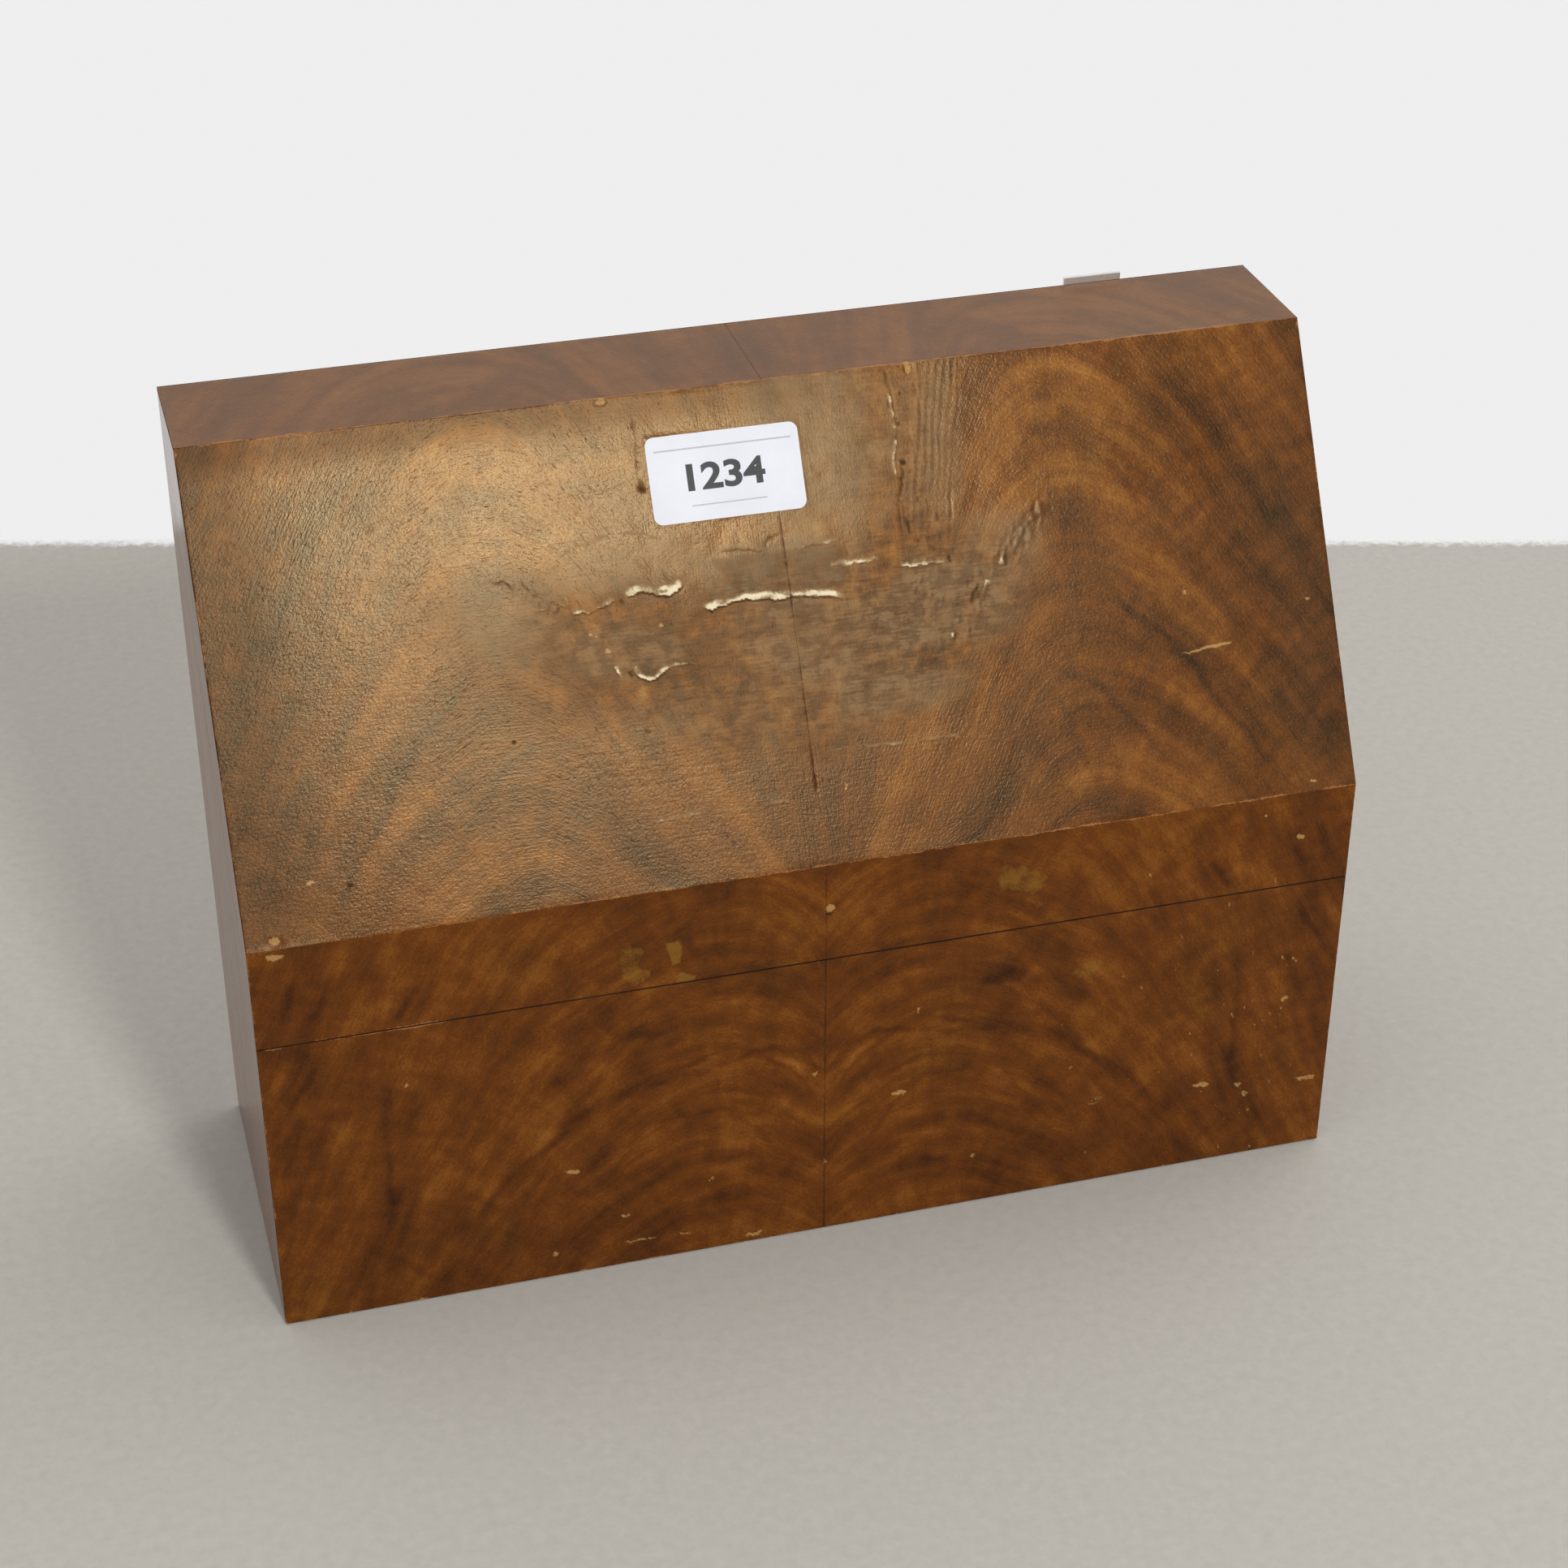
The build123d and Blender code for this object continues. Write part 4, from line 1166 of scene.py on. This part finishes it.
def frontShape(x, v, upperEdge, lowerEdge):
    # v runs down from the fold over band and base alike
    tone, cosine, sine = figureFields(frontFlitch, x, v, frontStrokes, 0.8)
    knots = spots(*wandered(x, v, [(8, 155, 2.5)], [(6, 156, 1.5)]), frontMarks["knots"])
    nicks = spots(*wandered(x, v, [(2.2, 157, 0.8)], [(1.8, 158, 0.5)]), frontMarks["nicks"])
    nick = np.maximum(nicks, scatteredDashes(x, v, frontMarks["dashes"], 159))
    stain = spots(*wandered(x, v, [(4, 161, 1.5)], [(4, 162, 1.5)]), frontMarks["stains"])

    # The sawn joint is dark, and only worn pale near the left end and round the middle
    sawWorn = 0.12 + 1.5 * (1 - smoothStep(x, -122, -108)) + 0.55 * np.exp(-((x - 2) / 13) ** 2)
    sawWorn *= smoothStep(softNoise(x, v * 0, 3.5, 163), 0.15, 0.5)
    topWear = arrisWear(x, v - upperEdge, 0.42, 165)
    lowWear = arrisWear(x, lowerEdge - v, 0.42, 167)
    sawnTop = upperEdge > 0
    wear = np.maximum(topWear * (sawWorn if sawnTop else 0.9), lowWear * (0.9 if sawnTop else sawWorn))
    wear = np.maximum(wear, arrisWear(v, halfWidth - np.abs(x), 0.5, 169))
    joint = np.exp(-(np.abs(v - (upperEdge if sawnTop else lowerEdge)) / 0.36) ** 2)
    grimeAndShade = 0.45 * joint * (1 - 0.85 * np.minimum(sawWorn, 1)) * (0.6 + 0.6 * softNoise(x, v, 3, 168))

    # The seam shows as a fine dark line, and the foot is scuffed
    seam = np.exp(-((x - seamX) / 0.20) ** 2) * (0.35 + 0.5 * softNoise(x, v, 6, 177))
    foot = np.exp(-np.maximum(length["front"] - v, 0) / 0.9)
    scuffed = foot * smoothStep(softNoise(x, v * 0.6, 1.8, 179), 0.35, 0.75)
    dirty = foot * smoothStep(softNoise(x, v, 2.6, 181), 0.5, 0.8) * 0.7
    # grime here also takes the painted shade spot under the nick
    grimeAndShade = np.maximum.reduce([grimeAndShade, seam, dirty, spots(x, v, frontMarks["shade"])])
    nick = np.maximum(nick, scuffed * smoothStep(softNoise(x, v, 6, 183), 0.5, 0.8) * 0.8)
    relief = uneven(x, v, (40, 171, 0.07), (8, 175, 0.012))
    relief -= 0.12 * nicks + 0.08 * seam + 0.28 * scuffed
    fade = smoothStep(np.minimum(v - upperEdge, lowerEdge - v), 0.0, 1.0)
    fields = {"plane": (x, v, 0.0), "figure": (tone - 0.025 - 0.22 * knots, cosine, sine),
              "cover": (0.0, 0.0, 0.0), "harm": (0.0, grimeAndShade, 0.0), "marks": (stain, nick, wear)}
    # The relief only goes inwards, so nothing stands past the box
    return np.minimum(relief, 0.0) * fade, fields


def bandShape(x, v):
    return frontShape(x, v, 0, length["band"])


def baseShape(x, v):
    drop = foldYz[1] - jointZ
    return frontShape(x, v + drop, drop, length["front"])


topStrokes = {
    # distances below the slope's top arris, so these are above it
    "dark": [(5, 0.5, [(6, -42), (7, 0)]), (3, 0.4, [(82, -8), (76, -20), (66, -25), (58, -20)]),
             (3, 0.35, [(28, -42), (26, -22), (30, 0)]), (9, 0.35, [(150, -42), (158, 0)])],
    "pale": [(2.5, 0.5, [(95, -2), (86, -18), (76, -30), (64, -32)]), (2, 0.5, [(34, -42), (33, 0)]),
             (6, 0.4, [(110, -6), (120, -30)])],
}


topLook = {
    "tone": 0.56,                  # on the average
    "contrast": 0.8,
    "cover": (0.24, 0.75, 0.06),   # haze, how grey it is, and the roughness that it adds
    "chips": [(-47.3, 2.0, 1.4), (45.1, 1.4, 1.5)],   # place along the front arris, half width, half height
}


def topShape(x, v, look=topLook):
    # v runs from the back arris to the front arris, where the slope's figure goes on
    tone, cosine, sine = figureFields(slopeFlitch, x, v - length["top"], topStrokes, 0.6)
    frontArris = arrisWear(x, length["top"] - v, 0.7, 181) * 1.5
    backArris = arrisWear(x, v, 0.4, 183)
    ends = arrisWear(v, halfWidth - np.abs(x), 0.5, 185)
    wear = np.maximum(np.maximum(frontArris, backArris), ends)
    seam = np.exp(-((x - seamX) / 0.2) ** 2) * 0.5
    chips = spots(x, v, [(cx, length["top"] - 0.2, rx, rv, 1) for cx, rx, rv in look["chips"]])
    relief = uneven(x, v, (42, 187, 0.05), (7, 189, 0.012)) - 0.3 * chips
    fields = {"plane": (x, v, 0.0), "figure": (look["tone"] + look["contrast"] * (tone - 0.5), cosine, sine),
              "cover": look["cover"], "harm": (0.0, seam, 0.0), "marks": (0.0, chips * 0.8, wear)}
    return relief * smoothStep(np.minimum(v, length["top"] - v), 0.0, 1.2), fields


faces = {
    "slope": faceFrame(topFrontYz, foldYz, topTurn, foldTurn),
    "top": faceFrame(topBackYz, topFrontYz, 90, topTurn),
    "band": faceFrame(foldYz, (foldYz[0], bandLow.z), foldTurn, 0, endShift=sawRise),
    "base": faceFrame((foldYz[0], jointZ), (foldYz[0], baseLow.z), 0, 0, startShift=-sawRise, endShift=0.0),
}
arris = {"fold": 0.6, "top": 0.35, "back": 0.5, "saw": 0.05, "end": 0.3, "foot": 0.25}

labelLook = {
    "height": 25.4,
    "corner": 2.6,
    "thick": 0.15,
    "bed": 0.22,               # the veneer under it, above the slope's plane
    "bow": 0.16,               # how much its middle stands higher than its ends
    "curl": 0.10,              # how much its corners lift
    "figures": "1234",
    "figureSize": (23.4, 8.0),
    "rules": [(-8.4, 41.0, 0.46), (8.2, 22.5, 0.40)],   # grey rules: from the middle, length, thickness
}
labelLow, labelHigh = corners("paper_label")
labelMiddle = (labelLow + labelHigh) / 2
labelSpot = (labelMiddle.x, (labelMiddle - faces["slope"]["start"]).dot(faces["slope"]["down"]))


def leafColumns(side, fineTo, fine, coarse):
    end = arrisSteps(arris["end"], 90)
    if side == "left":
        return gridLines(-halfWidth, seamX, -fineTo, seamX, fine, coarse, (end, ()))
    return gridLines(seamX, halfWidth, seamX, fineTo, fine, coarse, ((), end))


def crackGap(v):
    return (0.01 + 0.06 * softNoise(v, v * 0, 9, 191)) * smoothStep(v, 36, 42) * (1 - smoothStep(v, 116, 124))


leafPlan = {
    # face: (node, body, rounded arrises, fine rows, fine columns reach, spacings, shape, material)
    "slope": ("lid_slope_veneer", "lid", ("top", "fold"), (0, 134), 90, (0.45, 1.0), slopeShape, slopeWood),
    "top": ("lid_top_veneer", "lid", ("back", "top"), (0, 0), 0, (0.8, 0.8), topShape, slopeWood),
    "band": ("lid_band_veneer", "lid", ("fold", "saw"), (0, 0), 0, (0.5, 0.5), bandShape, frontWood),
    "base": ("base_front_veneer", "base", ("saw", "foot"), (0, 0), 0, (0.6, 0.6), baseShape, frontWood),
}
turnAt = {"fold": foldTurn, "top": topTurn, "back": 90, "saw": 90, "foot": 90}
for key, (node, body, arrises, fineRows, fineColumns, spacings, shape, wood) in leafPlan.items():
    steps = [arrisSteps(arris[a], turnAt[a]) for a in arrises]
    rows = gridLines(0, faces[key]["length"], *fineRows, *spacings, steps)
    gap = crackGap if key == "slope" else None
    for side in ("left", "right"):
        columns = leafColumns(side, fineColumns, *spacings)
        leaf = makeLeaf(f"{key}_leaf_{side}", faces[key], side, rows, columns, shape, (wood, veneerEdge), gap)
        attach(leaf, body)
        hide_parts(f"{node}_{side}")
        print(f"{leaf.name}: {len(leaf.data.polygons)} faces")


def labelHeight(x, v, look=labelLook):
    # Height of the label's face above the slope's plane, x and v from the label's middle
    halfWide = (labelHigh.x - labelLow.x) / 2
    bow = look["bow"] * (1 - (x / halfWide) ** 2)
    curl = look["curl"] * smoothStep(np.hypot(x / halfWide, v / (look["height"] / 2)), 1.05, 1.4)
    return look["bed"] + look["thick"] + bow + curl


def onLabel(x, v, lift):
    # Points on the slope for places on the label
    face = faces["slope"]
    start, down, out = (np.array(face[key]) for key in ("start", "down", "out"))
    place = start + (v + labelSpot[1])[..., None] * down + (labelHeight(x, v) + lift)[..., None] * out
    place[..., 0] = x + labelSpot[0]
    return place


def gridShell(rows, columns, xAt, vAt, lift, thick):
    # A thin closed slab that follows the label: points and faces
    share, along = np.meshgrid(np.linspace(-1, 1, columns), np.linspace(-1, 1, rows))
    v = vAt(along)
    x = xAt(share, v)
    points = np.concatenate([onLabel(x, v, height).reshape(-1, 3) for height in (lift, lift - thick)])
    count = rows * columns
    grid = np.arange(count).reshape(rows, columns)
    quads = quadsOf(grid)
    ring = rimOf(grid)
    walls = wallsOf(ring, ring + count)
    return points, np.concatenate([quads, quads[:, ::-1] + count, walls]).tolist()


def figureText(look):
    # The plain figures as a thin closed mesh, then laid on the label
    curve = bpy.data.curves.new("figures", "FONT")
    curve.body = look["figures"]
    curve.align_x = "CENTER"
    curve.align_y = "CENTER"
    curve.extrude = 0.01
    curve.offset = 0.03
    curve.resolution_u = 6
    flat = takenMesh(newObject("figures", curve))
    places = np.array([vertex.co for vertex in flat.vertices])
    polygons = [list(polygon.vertices) for polygon in flat.polygons]
    bpy.data.curves.remove(curve)
    bpy.data.meshes.remove(flat)
    wide, tall = look["figureSize"]
    across, up = ((places - places.min(0)) / np.ptp(places, 0) - 0.5)[:, :2].T
    return onLabel(across * wide, -up * tall, np.where(places[:, 2] > 0, 0.022, -0.03)), polygons


def makeLabel(look):
    halfWide = (labelHigh.x - labelLow.x) / 2
    halfTall = look["height"] / 2
    radius = look["corner"]

    def rounded(share, v):
        past = np.clip(np.abs(v) - (halfTall - radius), 0, radius)
        return share * (halfWide - radius + np.sqrt(radius**2 - past**2))

    def denseAtEnds(along):
        return halfTall * np.sin(along * math.pi / 2)

    def rule(middle, wide, thick):
        return gridShell(2, 25, lambda t, v: t * wide / 2, lambda t: middle + t * thick / 2, 0.012, 0.04)

    # points, faces and material of each shell
    shells = [(*gridShell(41, 33, rounded, denseAtEnds, 0.0, look["thick"] * 0.8), 0)]
    shells += [(*rule(*sizes), 2) for sizes in look["rules"]]
    shells += [(*figureText(look), 1)]
    points = []
    polygons = []
    inks = []
    for places, shellFaces, ink in shells:
        start = len(points)
        points += (places * mm).tolist()
        polygons += [[start + point for point in polygon] for polygon in shellFaces]
        inks += [ink] * len(shellFaces)
    mesh = bpy.data.meshes.new("label_sheet")
    mesh.from_pydata(points, [], polygons)
    for material in (paper, blackInk, greyInk):
        mesh.materials.append(material)
    mesh.polygons.foreach_set("material_index", inks)
    outward(mesh)
    sheet = newObject("label_sheet", mesh)
    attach(sheet, "lid")
    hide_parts("paper_label")


def outward(mesh):
    # Turns every closed shell's faces outwards
    work = bmesh.new()
    work.from_mesh(mesh)
    bmesh.ops.recalc_face_normals(work, faces=work.faces)
    work.to_mesh(mesh)
    work.free()
    mesh.update()


makeLabel(labelLook)
print("label made")


screwLook = {
    "headRadius": 1.8,
    "headDepth": 1.1,
    "shankRadius": 0.9,
    "tipRadius": 0.2,
    "length": 6.0,
    "slotWidth": 0.5,
    "slotDepth": 0.4,
    "apart": 10.4,           # between the two screws of a leaf
    "seed": 5,
}
screwSizes = ("headRadius", "headDepth", "shankRadius", "tipRadius", "length", "slotWidth", "slotDepth")


def screwTree(material):
    # Countersunk slotted screws on the points of a mesh, heads towards the back, each turned at random
    tree = bpy.data.node_groups.new("hingeScrews", "GeometryNodeTree")
    tree.interface.new_socket("Geometry", in_out="INPUT", socket_type="NodeSocketGeometry")
    for name in screwSizes:
        tree.interface.new_socket(name, in_out="INPUT", socket_type="NodeSocketFloat")
    tree.interface.new_socket("seed", in_out="INPUT", socket_type="NodeSocketInt")
    tree.interface.new_socket("Geometry", in_out="OUTPUT", socket_type="NodeSocketGeometry")
    given = put(tree, "NodeGroupInput").outputs

    def cone(sides, top, bottom, depth, drop):
        inputs = {"Vertices": sides, "Radius Top": given[top], "Radius Bottom": given[bottom], "Depth": depth}
        made = put(tree, "GeometryNodeMeshCone", inputs).outputs[0]
        place = put(tree, "ShaderNodeCombineXYZ", {2: times(tree, drop, -1.0)}).outputs[0]
        return put(tree, "GeometryNodeTransform", {"Geometry": made, "Translation": place}).outputs[0]

    head = cone(40, "headRadius", "shankRadius", given["headDepth"], given["headDepth"])
    shankLength = calc(tree, "SUBTRACT", given["length"], 0.0003)
    shank = cone(24, "shankRadius", "tipRadius", shankLength, given["length"])
    whole = put(tree, "GeometryNodeMeshBoolean", operation="UNION", solver="EXACT")
    tree.links.new(head, whole.inputs["Mesh 2"])
    tree.links.new(shank, whole.inputs["Mesh 2"])
    across = times(tree, given["headRadius"], 3.0)
    deep = times(tree, given["slotDepth"], 2.0)
    size = put(tree, "ShaderNodeCombineXYZ", {0: across, 1: given["slotWidth"], 2: deep}).outputs[0]
    cutter = put(tree, "GeometryNodeMeshCube", {"Size": size}).outputs[0]
    inputs = {"Mesh 1": whole.outputs[0], "Mesh 2": cutter}
    slotted = put(tree, "GeometryNodeMeshBoolean", inputs, operation="DIFFERENCE", solver="EXACT").outputs[0]
    inputs = {2: 0.0, 3: math.pi, "Seed": given["seed"]}
    turn = put(tree, "FunctionNodeRandomValue", inputs, data_type="FLOAT")
    angles = put(tree, "ShaderNodeCombineXYZ", {0: -math.pi / 2, 1: turn.outputs[1]}).outputs[0]
    turned = put(tree, "FunctionNodeEulerToRotation", {0: angles}).outputs[0]
    inputs = {"Points": given["Geometry"], "Instance": slotted, "Rotation": turned}
    copies = put(tree, "GeometryNodeInstanceOnPoints", inputs).outputs[0]
    real = put(tree, "GeometryNodeRealizeInstances", {0: copies}).outputs[0]
    dressed = put(tree, "GeometryNodeSetMaterial", {"Geometry": real, "Material": material}).outputs[0]
    put(tree, "NodeGroupOutput", {0: dressed})
    return tree


def makeScrews(name, body, node, seed, tree, look=screwLook):
    low, high = corners(node)
    rise = (low.z + high.z) / 2
    places = []
    for hinge in ("left", "right"):
        leafLow, leafHigh = corners(f"hinge_{hinge}_base_leaf")
        middle = (leafLow.x + leafHigh.x) / 2
        places += [((middle + way * look["apart"] / 2) * mm, high.y * mm, rise * mm) for way in (-1, 1)]
    points = bpy.data.meshes.new(name + "_places")
    points.from_pydata(places, [], [])
    holder = newObject(name + "_places", points)
    modifier = holder.modifiers.new("screws", "NODES")
    modifier.node_group = tree
    for socket in tree.interface.items_tree:
        if socket.in_out == "INPUT" and socket.name in screwSizes:
            modifier[socket.identifier] = look[socket.name] * mm
        if socket.in_out == "INPUT" and socket.name == "seed":
            modifier[socket.identifier] = seed
    mesh = takenMesh(holder)
    mesh.name = name
    bpy.data.meshes.remove(points)
    screws = newObject(name, mesh)
    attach(screws, body)
    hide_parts(node)
    print(f"{name}: {len(mesh.polygons)} faces")


screws = screwTree(hingeSteel)
makeScrews("screws_base", "base", "hinge_base_screws", screwLook["seed"], screws)
makeScrews("screws_lid", "lid", "hinge_lid_screws", screwLook["seed"] + 1, screws)


# The CAD pieces that are kept get their finishes
finishes = {
    sideWood: ["base_left_veneer", "base_right_veneer", "lid_left_veneer", "lid_right_veneer",
               "base_back_veneer", "lid_back_veneer"],
    carcassAlongZ: ["base_left_cheek", "base_right_cheek", "lid_left_cheek", "lid_right_cheek"],
    carcassAlongX: ["base_back_board", "base_front_board", "lid_back_rail", "lid_front_rail",
                    "lid_slope_board", "lid_top_board"],
    interiorAlongX: ["base_bottom_board", "divider_back", "divider_middle", "divider_front", "front_lining"],
    interiorAlongY: ["left_lining", "right_lining", "partition_back", "partition_front"],
    hingeSteel: ["hinge_left_base_leaf", "hinge_right_base_leaf", "hinge_left_lid_leaf",
                 "hinge_right_lid_leaf", "hinge_left_pin", "hinge_right_pin"],
}
for material, names in finishes.items():
    for name in names:
        slots = nodes[name].data.materials
        slots.clear()
        slots.append(material)
print("finishes assigned")


stageLook = {
    "reach": 4.0,                 # half the floor's width, metres
    "floor": (0.475, 0.450, 0.405),
    "beyond": (0.9, 0.9, 0.9),
    "surround": 0.86,
    "darkSide": 0.05,             # what gloss sees of the unlit side of the room, behind the camera
    "mat": (0.75, 0.414, 0.75),   # half width, reach to the back and to the front of the grey part, metres
    "matTurn": -15.58,
    "keyFrom": (0.445, -2.752, 2.017),
    "keySize": 0.44,
    "keyPower": 53.0,
    "keyAt": (-0.057, 0.002, 0.239),
    "fillFrom": (1.3, 0.6, 1.7),
    "fillSize": 1.4,
    "fillPower": 5.0,
    "fillAt": (0, 0, 0.13),
    "skyLight": 0.75,
}


def makeFloor(look):
    mesh = bpy.data.meshes.new("floor")
    reach = look["reach"]
    edges = [(-reach, -reach, 0), (reach, -reach, 0), (reach, reach, 0), (-reach, reach, 0)]
    mesh.from_pydata(edges, [], [(0, 1, 2, 3)])
    floor = newObject("floor", mesh)
    material, tree, shader = newMaterial("paleFloor")
    turn = {"Vector": objectPoint(tree), "Angle": math.radians(-look["matTurn"])}
    turned = put(tree, "ShaderNodeVectorRotate", turn, rotation_type="Z_AXIS").outputs[0]
    x, y, _ = put(tree, "ShaderNodeSeparateXYZ", {0: turned}).outputs
    halfMat, back, front = look["mat"]
    sideways = calc(tree, "SUBTRACT", calc(tree, "ABSOLUTE", x), halfMat)
    toFront = calc(tree, "SUBTRACT", times(tree, y, -1.0), front)
    lengthways = calc(tree, "MAXIMUM", calc(tree, "SUBTRACT", y, back), toFront)
    edge = calc(tree, "MAXIMUM", sideways, lengthways)
    pile = noise(tree, objectPoint(tree), (260, 260, 260), 2.0, 3.0, 0.7)
    far = spread(tree, weigh(tree, 0.0, edge, (pile, 0.012)), -0.004, 0.006)
    darker, paler = (tuple(level * part for part in look["floor"]) for level in (0.88, 1.12))
    colour = tint(tree, far, tint(tree, pile, darker, paler), look["beyond"])
    plug(tree, shader, colour=colour, roughness=0.95, specular=0.1)
    path = put(tree, "ShaderNodeLightPath").outputs
    mirrored = calc(tree, "MAXIMUM", path["Is Glossy Ray"], path["Is Transmission Ray"])
    seen = calc(tree, "MAXIMUM", path["Is Camera Ray"], mirrored)
    glow = put(tree, "ShaderNodeEmission", {0: (1, 1, 1, 1), 1: look["surround"]}).outputs[0]
    surface = shader.outputs[0].links[0].to_socket
    both = put(tree, "ShaderNodeMixShader", {0: times(tree, far, seen), 1: shader.outputs[0], 2: glow})
    tree.links.new(both.outputs[0], surface)
    mesh.materials.append(material)


def softLamp(name, place, size, power, target):
    lamp = bpy.data.lights.new(name, "AREA")
    lamp.shape = "DISK"
    lamp.size = size
    lamp.energy = power
    holder = newObject(name, lamp)
    holder.location = place
    holder.rotation_euler = (Vector(target) - Vector(place)).to_track_quat("-Z", "Y").to_euler()


def whiteSurround(look):
    # White to the camera and in reflections of the far side, a softer level as light
    world = bpy.data.worlds.new("surround")
    bpy.context.scene.world = world
    world.use_nodes = True
    tree = world.node_tree
    tree.nodes.clear()
    path = put(tree, "ShaderNodeLightPath").outputs
    gloss = calc(tree, "MAXIMUM", path["Is Glossy Ray"], path["Is Transmission Ray"])
    toward = put(tree, "ShaderNodeTexCoord").outputs["Generated"]
    toBack = put(tree, "ShaderNodeSeparateXYZ", {0: toward}).outputs[1]
    mirrored = spread(tree, toBack, -0.3, 0.25, look["darkSide"], look["surround"])
    unseen = put(tree, "ShaderNodeMix", {0: gloss, 2: look["skyLight"], 3: mirrored}).outputs[0]
    strengths = {0: path["Is Camera Ray"], 2: unseen, 3: look["surround"]}
    strength = put(tree, "ShaderNodeMix", strengths).outputs[0]
    background = put(tree, "ShaderNodeBackground", {0: (1, 1, 1, 1), 1: strength})
    put(tree, "ShaderNodeOutputWorld", {0: background.outputs[0]})


makeFloor(stageLook)
for lamp in ("key", "fill"):
    softLamp(lamp + "Lamp", *(stageLook[lamp + part] for part in ("From", "Size", "Power", "At")))
whiteSurround(stageLook)

cameraLook = {
    "place": (-0.21993, -0.80234, 0.64599),
    "turn": (58.2529, 0.0216, -15.5812),
    "lens": 72.836,
    "sensor": 36,
}
camera = newObject("camera", bpy.data.cameras.new("camera"))
camera.location = cameraLook["place"]
camera.rotation_euler = [math.radians(angle) for angle in cameraLook["turn"]]
camera.data.lens = cameraLook["lens"]
camera.data.sensor_width = cameraLook["sensor"]
bpy.context.scene.camera = camera
bpy.context.scene.view_settings.view_transform = "Standard"
print("stage set")
